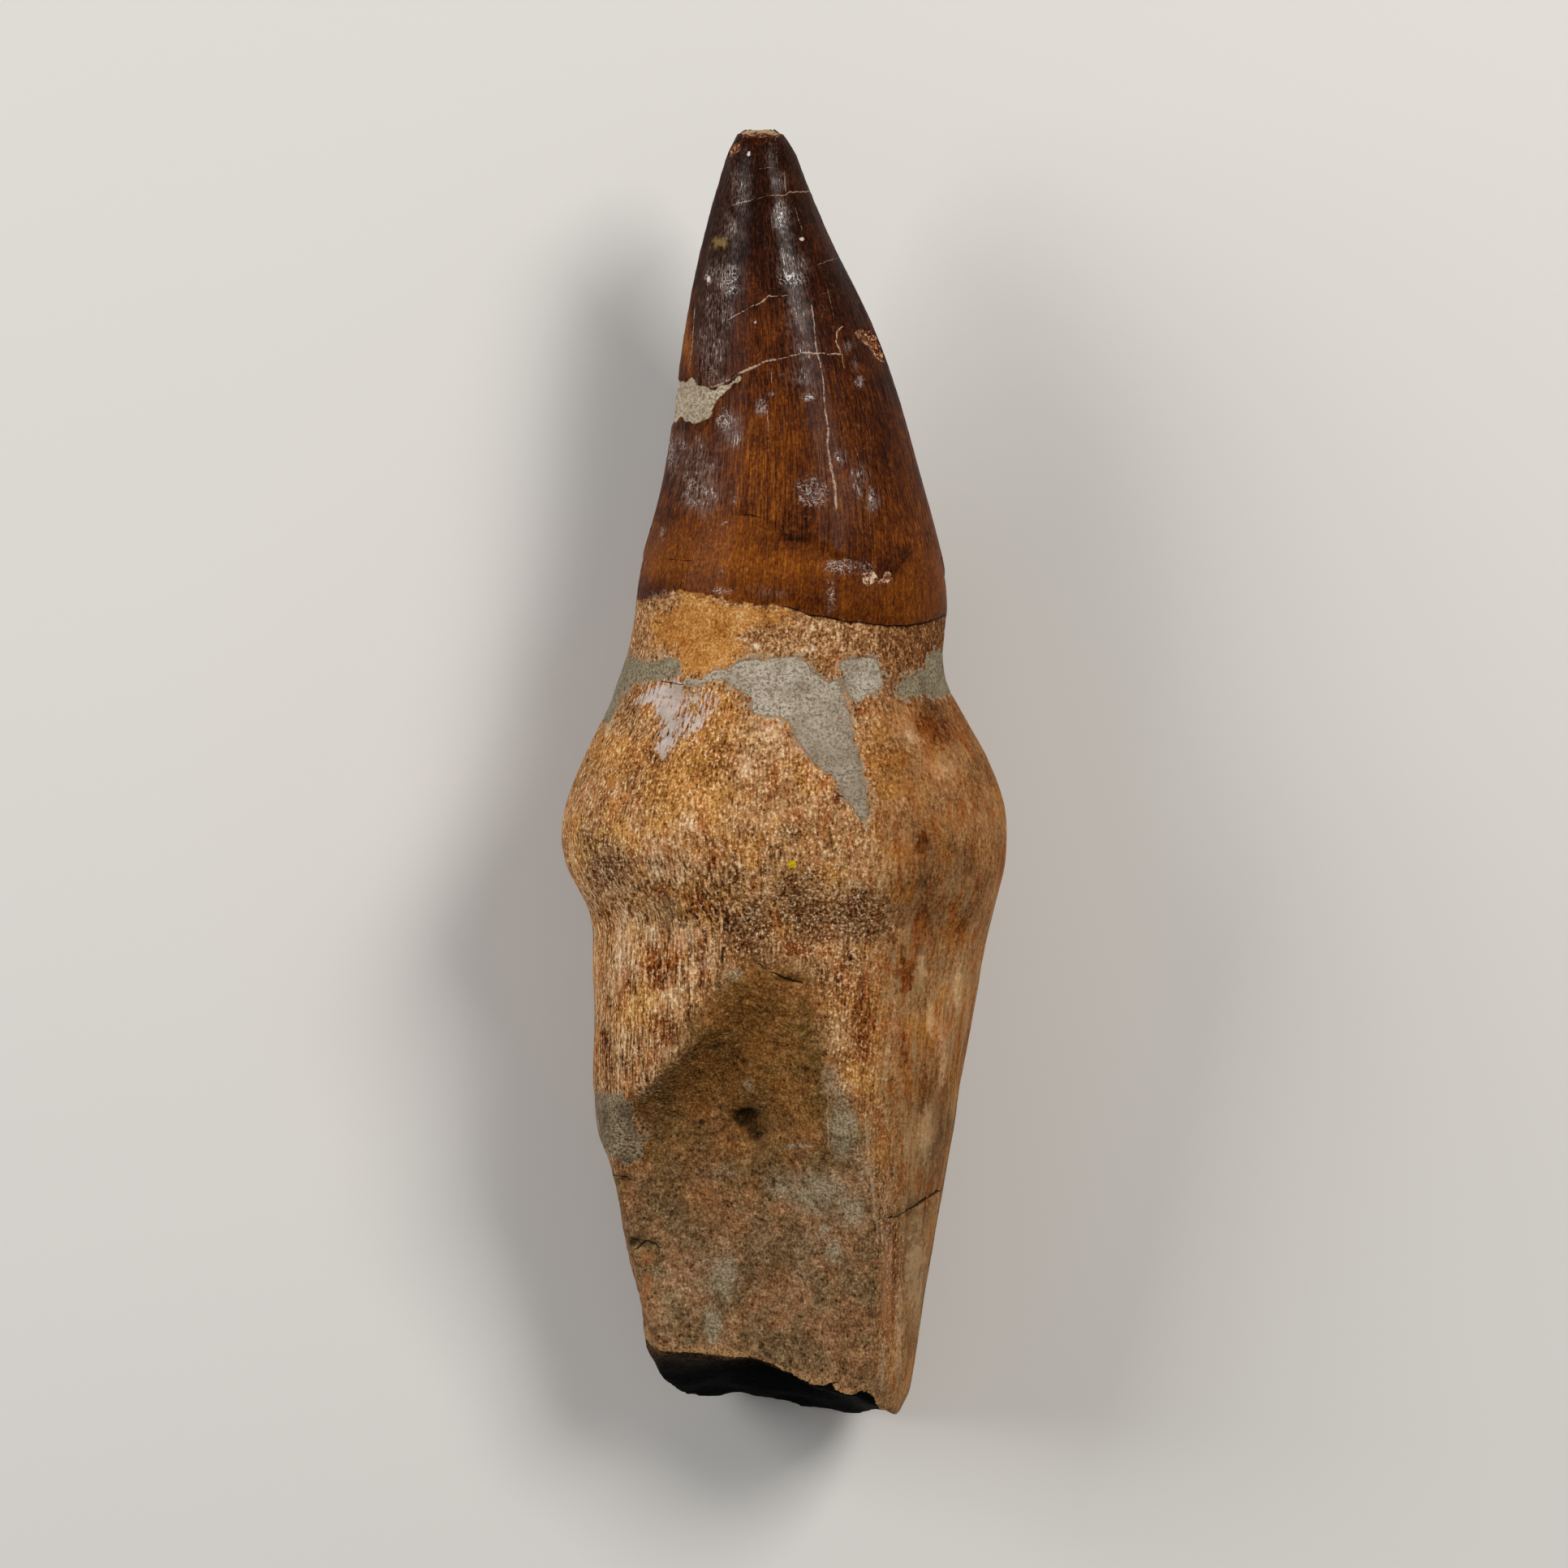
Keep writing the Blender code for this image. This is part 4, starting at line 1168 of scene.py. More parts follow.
class Kit:
    """What the finishes of one material mix their colours from: its tree, its marks and some shared noise.

    Attributes:
        recipe: The material's tree.
        effects: The shared effects.
        place: The place on the tooth in millimetres.
        grain: The place moved so that streaks follow the tooth's outline.
        marks: The stored marks by name, each three values.
        broad: Noise with patches of some nine millimetres.
        cloud: Noise with patches of some three millimetres.
        patch: Blotchy noise, a few millimetres a blotch.
        mottle: Blotchy noise, half a millimetre a blotch.
        grit: Fine noise, a fifth of a millimetre a grain.
        fleck: Short fine strokes along the tooth.
        fibre: Fine fibres along the tooth.
        strand: Wider streaks along the tooth.
        bands: The widest streaks.
        crumb: Small rounded grains.
        splinter: Long thin grains along the tooth.
        flecks: What soft marks are multiplied by to break them up.
        crinkle: Thin curling lines.
        fibrous: How much the bone shows its fibres.
    """

    def __init__(self, recipe: Recipe, effects: Effects) -> None:
        """Adds the shared nodes.

        Args:
            recipe: The material's tree.
            effects: The shared effects.
        """
        self.recipe = recipe
        self.effects = effects
        where = recipe.node("TexCoord").outputs["Object"]
        self.place = recipe.node("VectorMath", {0: where, "Scale": 1 / MM}, operation="SCALE").outputs[0]
        stored = recipe.node("Attribute", attribute_name="grainwise", attribute_type="GEOMETRY")
        self.grain = stored.outputs["Vector"]
        names = ("zones", "patches", "crown", "stains", "spots", "wear", "bone", "across_cracks",
                 "down_cracks", "dark_cracks")
        self.marks = {name: recipe.marks(name) for name in names}
        self.broad = self.noise(0.11, 2.0)
        self.cloud = self.noise(0.31, 3.0)
        self.patch = self.noise(0.45, 5.0)
        self.mottle = self.noise(1.6, 4.0)
        self.grit = self.noise(5.0, 2.0)
        self.fleck = self.streaks(0.17, 0.42, 51.0, 2.0)
        self.fibre = self.streaks(0.19, 2.4, 14.0, 2.0)
        self.strand = self.streaks(0.42, 3.4, 12.0, 3.0)
        self.bands = self.streaks(0.85, 4.6, 30.0, 4.0)
        self.crumb = self.grains(self.place, 0.28, 1.15)
        self.splinter = self.grains(self.grain, 0.18, 6.5)
        self.flecks = self.total(1.0, self.swing(self.mottle, 4.0), self.swing(self.patch, 3.0))
        ridge = recipe.math("ABSOLUTE", recipe.math("SUBTRACT", self.noise(2.3, 3.0), 0.5))
        self.crinkle = recipe.rise(ridge, 0.022, 0.006)
        x, y, _ = recipe.node("SeparateXYZ", {0: self.place}).outputs
        leftward = self.total(0.35, recipe.rise(self.sway(x, patch=12.0), 1.0, -4.5, 0.65))
        downward = self.total(0.3, recipe.rise(self.sway(y, patch=16.0), -3.0, -9.0, 0.7))
        self.fibrous = recipe.times(downward, leftward)

    def noise(self, scale: float, detail: float) -> Socket:
        """Even noise with a number of waves a millimetre."""
        inputs = {"Vector": self.place, "Scale": scale, "Detail": detail, "Roughness": 0.6}
        return self.recipe.node("TexNoise", inputs).outputs[0]

    def streaks(self, across: float, along: float, seed: float, detail: float) -> Socket:
        """Streaks of a size along the tooth."""
        values = {"Across": across, "Along": along, "Seed": seed, "Detail": detail}
        return self.effects.streaks.use(self.recipe, Place=self.grain, **values)[0]

    def grains(self, place: Socket, size: float, stretch: float) -> list[Socket]:
        """The tone, the chance and the height of grains of a size."""
        return self.effects.grains.use(self.recipe, Place=place, Size=size, Stretch=stretch)

    def pick(self, grains: list[Socket], share: Value) -> Socket:
        """A mask of a share of some grains."""
        return self.recipe.times(self.recipe.math("LESS_THAN", grains[1], share), grains[2])

    def edge(self, distance: Socket, noise_value: Value, **values: float) -> Socket:
        """The mask of a patch with a ragged edge."""
        return self.effects.edge.use(self.recipe, Distance=distance, Noise=noise_value, **values)[0]

    def line(self, name: str, width: float, waver: float) -> Socket:
        """Draws the cracks that are stored under a name.

        Args:
            name: The name.
            width: How wide the strongest crack is, in millimetres.
            waver: How far it wavers.

        Returns:
            The cracks' mask.
        """
        offset, strength, _ = self.marks[name]
        values = {"Offset": offset, "Strength": strength, "Width": width, "Waver": waver}
        return self.effects.line.use(self.recipe, Noise=self.mottle, Patchy=self.patch, **values)[0]

    def swing(self, value: Socket, amount: Value) -> Socket:
        """Noise as a swing to both sides of nought."""
        return self.recipe.times(self.recipe.math("SUBTRACT", value, 0.5), amount)

    def sway(self, usual: Value, **weights: float) -> Socket:
        """Moves a value by some of the shared noises.

        Args:
            usual: The value where the noises are at their middle.
            **weights: How far each noise moves it, by the noise's name.

        Returns:
            The moved value.
        """
        moved = usual
        for name, weight in weights.items():
            value = getattr(self, name)
            value = value[0] if isinstance(value, list) else value
            moved = self.total(moved, self.swing(value, weight))
        return moved

    def total(self, *values: Value) -> Socket:
        """Adds values.

        Args:
            *values: The values.

        Returns:
            Their sum.
        """
        result = values[0]
        for value in values[1:]:
            result = self.recipe.math("ADD", result, value)
        return result

    def blotch(self, mark: Socket, level: float = 0.5, soft: float = 0.2) -> Socket:
        """A soft mark broken up into ragged flecks."""
        return self.recipe.rise(self.recipe.times(mark, self.flecks), level - soft, level + soft)


@dataclass(frozen=True)
class EnamelFinish:
    """Glossy enamel: near black towards the tip, amber at its lower end, striped and scratched, with a
    painted grey sheen and painted glints where the lamps reflect, and a painted shadow along its step.
    """

    stops: Stops = ((0.0, "#120500"), (0.2, "#280f05"), (0.42, "#421c09"), (0.6, "#5a2c0c"),
                    (0.8, "#763d0e"), (1.0, "#95581c"))
    # The colour of the painted shadow along the enamel's step
    dark: str = "#1f0b03"
    painted_sheen: str = "#67554d"
    ochre: str = "#8f7646"
    glint: str = "#d3c6bd"
    crack: str = "#b59a84"
    chipped_stops: Stops = ((0.32, "#2a120a"), (0.46, "#64331b"), (0.58, "#98633f"), (0.74, "#e0c8ac"))
    worn: str = "#cfae86"
    side_chips: tuple[float, float] = (30.0, 24.0)
    tip_flat: tuple[float, float] = (51.6, 52.0)

    def sheen(self, kit: Kit) -> tuple[Socket, Socket]:
        """Finds the painted sheen of the crown: a grey film of colour that stands for the lamps'
        reflection.

        Args:
            kit: The material's shared nodes.

        Returns:
            Where the painted sheen is, and the painted glints of small dashes and sparks in it.
        """
        recipe = kit.recipe
        _, painted_sheen, painted_glints = kit.marks["crown"]
        uneven = kit.sway(1.0, mottle=1.8, patch=1.8)
        film = recipe.rise(recipe.times(painted_sheen, uneven), 0.1, 0.95)
        strokes = kit.sway(kit.streaks(0.13, 0.75, 61.0, 2.0), patch=0.3)
        dashes = recipe.times(recipe.rise(strokes, 0.6, 0.7), recipe.rise(film, 0.3, 0.9, 0.75))
        sparks = recipe.times(kit.crinkle, kit.blotch(painted_glints, 0.35, 0.3))
        film = recipe.math("MAXIMUM", film, recipe.rise(painted_glints, 0.1, 1.2, 0.9))
        return film, recipe.math("MAXIMUM", dashes, sparks)

    def colour(self, kit: Kit, narrow: Socket, broad: Socket, film: Socket, shine: Socket) -> Socket:
        """Mixes the colour from the marks of the crown.

        Args:
            kit: The material's shared nodes.
            narrow: Narrow streaks.
            broad: Broad streaks.
            film: Where the painted sheen is.
            shine: The painted glints: dashes and sparks.

        Returns:
            The colour.
        """
        recipe = kit.recipe
        _, step, _ = kit.marks["zones"]
        warmth, _, _ = kit.marks["crown"]
        _, golden, glint_dots = kit.marks["bone"]
        below = kit.edge(step, kit.mottle, Ragged=0.25, Soft=0.2)
        streaky = recipe.vary(below, 1.0, 0.55)
        stripes = recipe.times(kit.total(kit.swing(broad, 0.42), kit.swing(narrow, 1.3)), streaky)
        uneven = kit.total(kit.swing(kit.patch, 0.6), kit.swing(kit.grit, 0.5), kit.swing(kit.fleck, 0.8))
        tone = kit.total(warmth, stripes, recipe.times(below, 0.07), uneven)
        colour = recipe.ramp(tone, self.stops)
        # Painted shadow: a dark wavering line drawn along the enamel's step
        wavy = kit.sway(step, mottle=0.8)
        edge = recipe.times(recipe.rise(wavy, -0.25, 0.05), recipe.rise(wavy, 0.35, 0.1))
        edge = recipe.times(edge, recipe.rise(warmth, 0.62, 0.4, 0.7))
        colour = recipe.blend(edge, colour, paint(self.dark))
        ridges = recipe.rise(kit.sway(narrow, fleck=1.0), 0.4, 0.6, 0.85)
        # Painted reflection: the grey sheen is mixed into the colour along the ridges
        colour = recipe.blend(recipe.times(film, ridges), colour, paint(self.painted_sheen))
        colour = recipe.blend(recipe.times(kit.blotch(golden, 0.6, 0.4), 0.6), colour, paint(self.ochre))
        # Painted highlights: the dashes, sparks and single glint specks are mixed in as a pale colour
        colour = recipe.blend(recipe.times(shine, 0.8), colour, paint(self.glint))
        colour = recipe.blend(recipe.rise(glint_dots, 0.5, 0.7), colour, paint(self.glint))
        across, down = kit.line("across_cracks", 0.075, 0.08), kit.line("down_cracks", 0.07, 0.05)
        pale = recipe.math("MAXIMUM", across, down)
        pale = recipe.times(pale, recipe.rise(kit.sway(kit.grit, patch=0.8), 0.3, 0.6, 0.9))
        return recipe.blend(pale, colour, paint(self.crack))

    def chipped(self, kit: Kit) -> Socket:
        """Mixes the colour where the enamel is chipped off, or worn flat at the tip.

        Args:
            kit: The material's shared nodes.

        Returns:
            The colour.
        """
        recipe = kit.recipe
        height = recipe.node("SeparateXYZ", {0: kit.place}).outputs[1]
        lighter = recipe.rise(height, *self.side_chips, 0.08)
        tone = kit.total(kit.sway(kit.grit, mottle=0.8), lighter)
        raw = recipe.ramp(tone, self.chipped_stops)
        flat = recipe.rise(kit.sway(height, mottle=1.8), *self.tip_flat, 0.75)
        return recipe.blend(flat, raw, paint(self.worn))


@dataclass(frozen=True)
class BoneFinish:
    """Fibrous bone of the root and the neck: gold and tan with pores, crusts, stains and a white patch."""

    stops: Stops = ((0.0, "#2e1a0d"), (0.25, "#76502e"), (0.5, "#ae8457"), (0.72, "#d2ac7e"),
                    (1.0, "#f4e2c4"))
    gold: str = "#ffe9b8"
    rose: str = "#fff7f1"
    rust: str = "#e0ac7c"
    cream: str = "#f6e4c2"
    pit: str = "#3a2412"
    lines: str = "#9f8660"
    white: str = "#a6968a"
    white_pale: str = "#c8bdb7"
    crust_stops: Stops = ((0.0, "#1a0d04"), (0.25, "#40220f"), (0.45, "#6a3f20"), (0.6, "#6e5238"),
                          (0.8, "#967450"), (1.0, "#dcc9a8"))
    neck_stops: Stops = ((0.0, "#2a170d"), (0.3, "#6b4224"), (0.52, "#9a6b40"), (0.75, "#c99f72"),
                         (1.0, "#f0dab6"))
    yellow_stops: Stops = ((0.1, "#3a2411"), (0.3, "#8f5520"), (0.5, "#b87a38"), (0.68, "#cd9c5e"),
                           (0.85, "#efd7ad"))
    putty_edge: str = "#4a3320"
    putty_smear: str = "#a1927b"
    speck: str = "#c9b000"
    pale_lines: tuple[float, float] = (-2.0, -16.0)
    neck_reach: float = 3.9

    def colour(self, kit: Kit) -> Socket:
        """Mixes the colour from the marks of the root.

        Args:
            kit: The material's shared nodes.

        Returns:
            The colour.
        """
        recipe = kit.recipe
        crust, rusty, whitish = kit.marks["stains"]
        _, _, speck = kit.marks["spots"]
        rough, golden, _ = kit.marks["bone"]
        _, _, olive = kit.marks["wear"]
        loose = kit.blotch(whitish, 0.5, 0.3)
        rust = kit.blotch(rusty, 0.5, 0.25)
        lines = kit.sway(0.0, fibre=1.3, splinter=0.2, strand=0.3)
        lines = recipe.times(lines, kit.total(0.25, recipe.times(kit.fibrous, 0.9)))
        grains = kit.sway(0.0, crumb=0.14, grit=0.8, fleck=1.1)
        fine = recipe.times(kit.total(lines, grains), kit.total(0.25, recipe.times(rough, 0.75)))
        broad = kit.sway(0.0, patch=0.36, mottle=0.22, broad=0.6)
        usual = kit.total(0.26, recipe.times(rough, 0.22), recipe.times(olive, -0.1))
        tone = kit.total(usual, fine, broad, recipe.times(loose, 0.12), recipe.times(rust, -0.11))
        colour = recipe.ramp(tone, self.stops)
        warm = recipe.rise(kit.sway(golden, cloud=4.0, patch=1.5), 0.1, 1.0)
        tint = recipe.blend(warm, paint(self.rose), paint(self.gold))
        streaked = kit.sway(kit.bands, patch=0.8, mottle=0.15)
        less_golden = kit.total(1.0, recipe.times(golden, -0.45))
        banded = recipe.times(recipe.rise(streaked, 0.44, 0.7, 0.9), less_golden)
        tint = recipe.blend(recipe.math("MAXIMUM", rust, banded), tint, paint(self.rust))
        colour = recipe.blend(1.0, colour, tint, "MULTIPLY")
        colour = recipe.blend(recipe.times(loose, 0.12), colour, paint(self.cream))
        low = recipe.node("SeparateXYZ", {0: kit.place}).outputs[1]
        pale = kit.sway(kit.bands, strand=0.9, mottle=0.6, fleck=0.3)
        pale = recipe.times(recipe.rise(pale, 0.48, 0.34), recipe.rise(low, *self.pale_lines),
                            recipe.invert(rough))
        pale = recipe.math("MAXIMUM", pale, recipe.times(olive, kit.sway(0.6, patch=2.0)))
        colour = recipe.blend(recipe.times(pale, 0.85), colour, paint(self.lines))
        colour = self.speckled(kit, colour, loose)
        colour = self.crusted(kit, colour, crust)
        colour = self.whitened(kit, colour)
        colour = self.neck(kit, colour)
        near = kit.marks["patches"][0]
        smear = recipe.rise(kit.sway(near, mottle=4.6, grit=1.6), -0.35, 0.05, 0.8)
        colour = recipe.blend(smear, colour, paint(self.putty_smear))
        seam = recipe.rise(kit.sway(near, mottle=1.6, fleck=0.8), -0.22, 0.02, 0.35)
        colour = recipe.blend(seam, colour, paint(self.putty_edge))
        return recipe.blend(recipe.rise(speck, 0.3, 0.5), colour, paint(self.speck))

    def speckled(self, kit: Kit, under: Socket, loose: Socket) -> Socket:
        """Lays cream grains, partly painted highlights of the grainy bone, dark pits and dark slits over
        the bone.

        Args:
            kit: The material's shared nodes.
            under: The bone's colour.
            loose: Where the bone is loose and whitish.

        Returns:
            The colour.
        """
        recipe = kit.recipe
        rough, _, _ = kit.marks["bone"]
        grainy = recipe.math("SUBTRACT", recipe.times(rough, 1.7), 0.7)
        strokes = kit.sway(kit.fleck, grit=0.8, patch=0.15)
        # Partly painted highlights: the cream grains stand for pale specks and for the tiny highlights that
        # the grainy bone catches
        creamy = recipe.times(recipe.rise(strokes, 0.6, 0.72), grainy)
        colour = recipe.blend(recipe.times(creamy, 0.44), under, paint(self.cream))
        pits = recipe.times(recipe.rise(strokes, 0.33, 0.24), grainy)
        share = kit.total(0.01, recipe.times(kit.fibrous, 0.1), recipe.times(loose, 0.16))
        slits = kit.pick(kit.splinter, recipe.times(share, grainy))
        return recipe.blend(recipe.times(recipe.math("MAXIMUM", pits, slits), 0.5), colour, paint(self.pit))

    def crusted(self, kit: Kit, under: Socket, crust: Socket) -> Socket:
        """Lays dark grains with a few pale ones over the bone where the crust is.

        Args:
            kit: The material's shared nodes.
            under: The bone's colour.
            crust: Where the crust is.

        Returns:
            The colour.
        """
        recipe = kit.recipe
        shade = kit.sway(0.49, crumb=0.55, grit=1.4, mottle=0.7, fleck=1.5)
        grains = recipe.ramp(shade, self.crust_stops)
        cover = recipe.times(kit.blotch(crust, 0.5, 0.35), recipe.rise(kit.grit, 0.68, 0.5))
        return recipe.blend(recipe.times(cover, 0.8), under, grains)

    def whitened(self, kit: Kit, under: Socket) -> Socket:
        """Lays the white patch over the bone, with the fibres showing through it.

        Args:
            kit: The material's shared nodes.
            under: The bone's colour.

        Returns:
            The colour.
        """
        recipe = kit.recipe
        threads = kit.sway(kit.fibre, mottle=0.5, splinter=0.1)
        white = kit.edge(kit.marks["patches"][1], threads, Ragged=0.8, Soft=0.3)
        colour = recipe.blend(recipe.rise(kit.patch, 0.3, 0.66), paint(self.white), paint(self.white_pale))
        return recipe.blend(recipe.times(white, recipe.rise(threads, 0.3, 0.44), 0.88), under, colour)

    def neck(self, kit: Kit, under: Socket) -> Socket:
        """Lays the glassy grains below the crown and the yellow patch on their left over the bone.

        Args:
            kit: The material's shared nodes.
            under: The bone's colour.

        Returns:
            The colour.
        """
        recipe = kit.recipe
        rough, _, _ = kit.marks["bone"]
        usual = kit.total(0.14, recipe.times(rough, 0.4))
        tone = kit.sway(usual, crumb=0.32, grit=1.2, mottle=0.4, patch=0.35, fleck=0.9)
        distance = recipe.math("SUBTRACT", self.neck_reach, kit.marks["zones"][0])
        band = kit.edge(distance, kit.patch, Ragged=1.3, Soft=0.9)
        colour = recipe.blend(recipe.times(band, 0.9), under, recipe.ramp(tone, self.neck_stops))
        yellow = kit.edge(kit.marks["patches"][2], kit.mottle, Ragged=1.1, Soft=0.5)
        tone = kit.sway(0.49, patch=0.4, mottle=0.35, grit=0.9, crumb=0.12)
        colour = recipe.blend(recipe.times(yellow, 0.92), colour, recipe.ramp(tone, self.yellow_stops))
        _, rusty, whitish = kit.marks["stains"]
        stained = recipe.blend(1.0, colour, paint(self.rust), "MULTIPLY")
        colour = recipe.blend(recipe.times(kit.blotch(rusty, 0.5, 0.35), band), colour, stained)
        loose = recipe.times(kit.blotch(whitish, 0.6, 0.3), band, 0.6)
        return recipe.blend(loose, colour, paint(self.cream))


@dataclass(frozen=True)
class HollowFinish:
    """The granular floor of the hollow: brown and olive above, rose and grey towards the break."""

    upper_stops: Stops = ((0.05, "#2c1b08"), (0.3, "#62411e"), (0.5, "#82592e"), (0.7, "#a17a4b"),
                          (0.95, "#c8a478"))
    lower_stops: Stops = ((0.05, "#2c1e12"), (0.3, "#63462d"), (0.5, "#866545"), (0.7, "#a98865"),
                          (0.95, "#d4b896"))
    olive: str = "#f3e8d2"
    cool: str = "#e6eee8"
    rosy: str = "#ffeee2"
    grey: str = "#85785f"
    grey_pale: str = "#b3a589"
    rust: str = "#9a5c2c"
    black: str = "#0f0b06"
    pale: str = "#c4b294"
    lower_part: tuple[float, float] = (-23.0, -38.0)

    def colour(self, kit: Kit) -> Socket:
        """Mixes the colour from the marks of the hollow.

        Args:
            kit: The material's shared nodes.

        Returns:
            The colour.
        """
        recipe = kit.recipe
        dark, film, _ = kit.marks["spots"]
        _, _, olive = kit.marks["wear"]
        _, rusty, whitish = kit.marks["stains"]
        height = recipe.node("SeparateXYZ", {0: kit.place}).outputs[1]
        lower = recipe.rise(kit.sway(height, patch=20.0), *self.lower_part)
        tone = kit.sway(0.49, mottle=0.75, grit=0.9, patch=0.35, crumb=0.14, cloud=0.2, fleck=0.6)
        tone = kit.total(tone, recipe.times(whitish, 0.14))
        colour = recipe.ramp(tone, self.upper_stops)
        colour = recipe.blend(lower, colour, recipe.ramp(tone, self.lower_stops))
        clouded = recipe.blend(recipe.rise(kit.sway(kit.cloud, patch=0.4), 0.36, 0.64),
                               paint(self.cool), paint(self.rosy))
        soft_olive = recipe.rise(recipe.times(olive, kit.sway(1.0, patch=2.5)), 0.1, 1.2)
        tint = recipe.blend(soft_olive, clouded, paint(self.olive))
        colour = recipe.blend(1.0, colour, tint, "MULTIPLY")
        grey = recipe.blend(recipe.rise(kit.sway(kit.grit, fleck=0.5), 0.38, 0.62), paint(self.grey),
                            paint(self.grey_pale))
        smear = recipe.rise(recipe.times(film, kit.sway(1.0, patch=2.4, mottle=2.4)),
                            0.1, 1.0, 0.7)
        colour = recipe.blend(smear, colour, grey)
        colour = recipe.blend(recipe.times(kit.blotch(rusty, 0.55, 0.4), 0.6), colour, paint(self.rust))
        # Partly painted shade: the dark spots and small pits are painted near black
        pits = recipe.times(recipe.math("LESS_THAN", kit.crumb[0], 0.05), kit.crumb[2])
        torn = kit.sway(0.9, mottle=5.0, patch=3.0, grit=2.0)
        spot = recipe.rise(recipe.times(dark, torn), 0.15, 1.2)
        spot = recipe.math("MAXIMUM", spot, recipe.times(pits, 0.8))
        colour = recipe.blend(recipe.times(spot, 0.85), colour, paint(self.black))
        scratch = recipe.times(kit.line("down_cracks", 0.14, 0.12), 0.45)
        return recipe.blend(scratch, colour, paint(self.pale))


@dataclass(frozen=True)
class BreakFinish:
    """The break across the end of the root, painted near black for the shade it lies in, the browner pit in
    it and a painted highlight along its lit edge.
    """

    # Painted shade: the break's face is made near black for the shade it lies in
    stops: Stops = ((0.35, "#010304"), (0.6, "#050808"), (0.85, "#16130f"))
    pit: Stops = ((0.3, "#1c130b"), (0.5, "#443120"), (0.75, "#7a5e3f"))
    lip_highlight: str = "#c99a66"
    pit_start: tuple[float, float] = (-48.3, -45.3)

    def colour(self, kit: Kit) -> Socket:
        """Mixes the colour from noise, browner where the break goes in.

        Args:
            kit: The material's shared nodes.

        Returns:
            The colour.
        """
        recipe = kit.recipe
        tone = kit.sway(kit.grit, patch=0.8)
        along = recipe.node("SeparateXYZ", {0: kit.place}).outputs[1]
        inward = recipe.rise(kit.sway(along, mottle=2.0), *self.pit_start)
        return recipe.blend(inward, recipe.ramp(tone, self.stops), recipe.ramp(tone, self.pit))

    def paint_lip_highlight(self, kit: Kit, under: Socket) -> Socket:
        """Lays a painted highlight along the lit edge of the break over the bone.

        Args:
            kit: The material's shared nodes.
            under: The bone's colour.

        Returns:
            The colour.
        """
        recipe = kit.recipe
        place = kit.sway(kit.marks["wear"][1], mottle=1.0)
        near = recipe.times(recipe.rise(place, -0.95, -0.4), recipe.rise(kit.grit, 0.35, 0.55))
        return recipe.blend(recipe.times(near, 0.5), under, paint(self.lip_highlight))


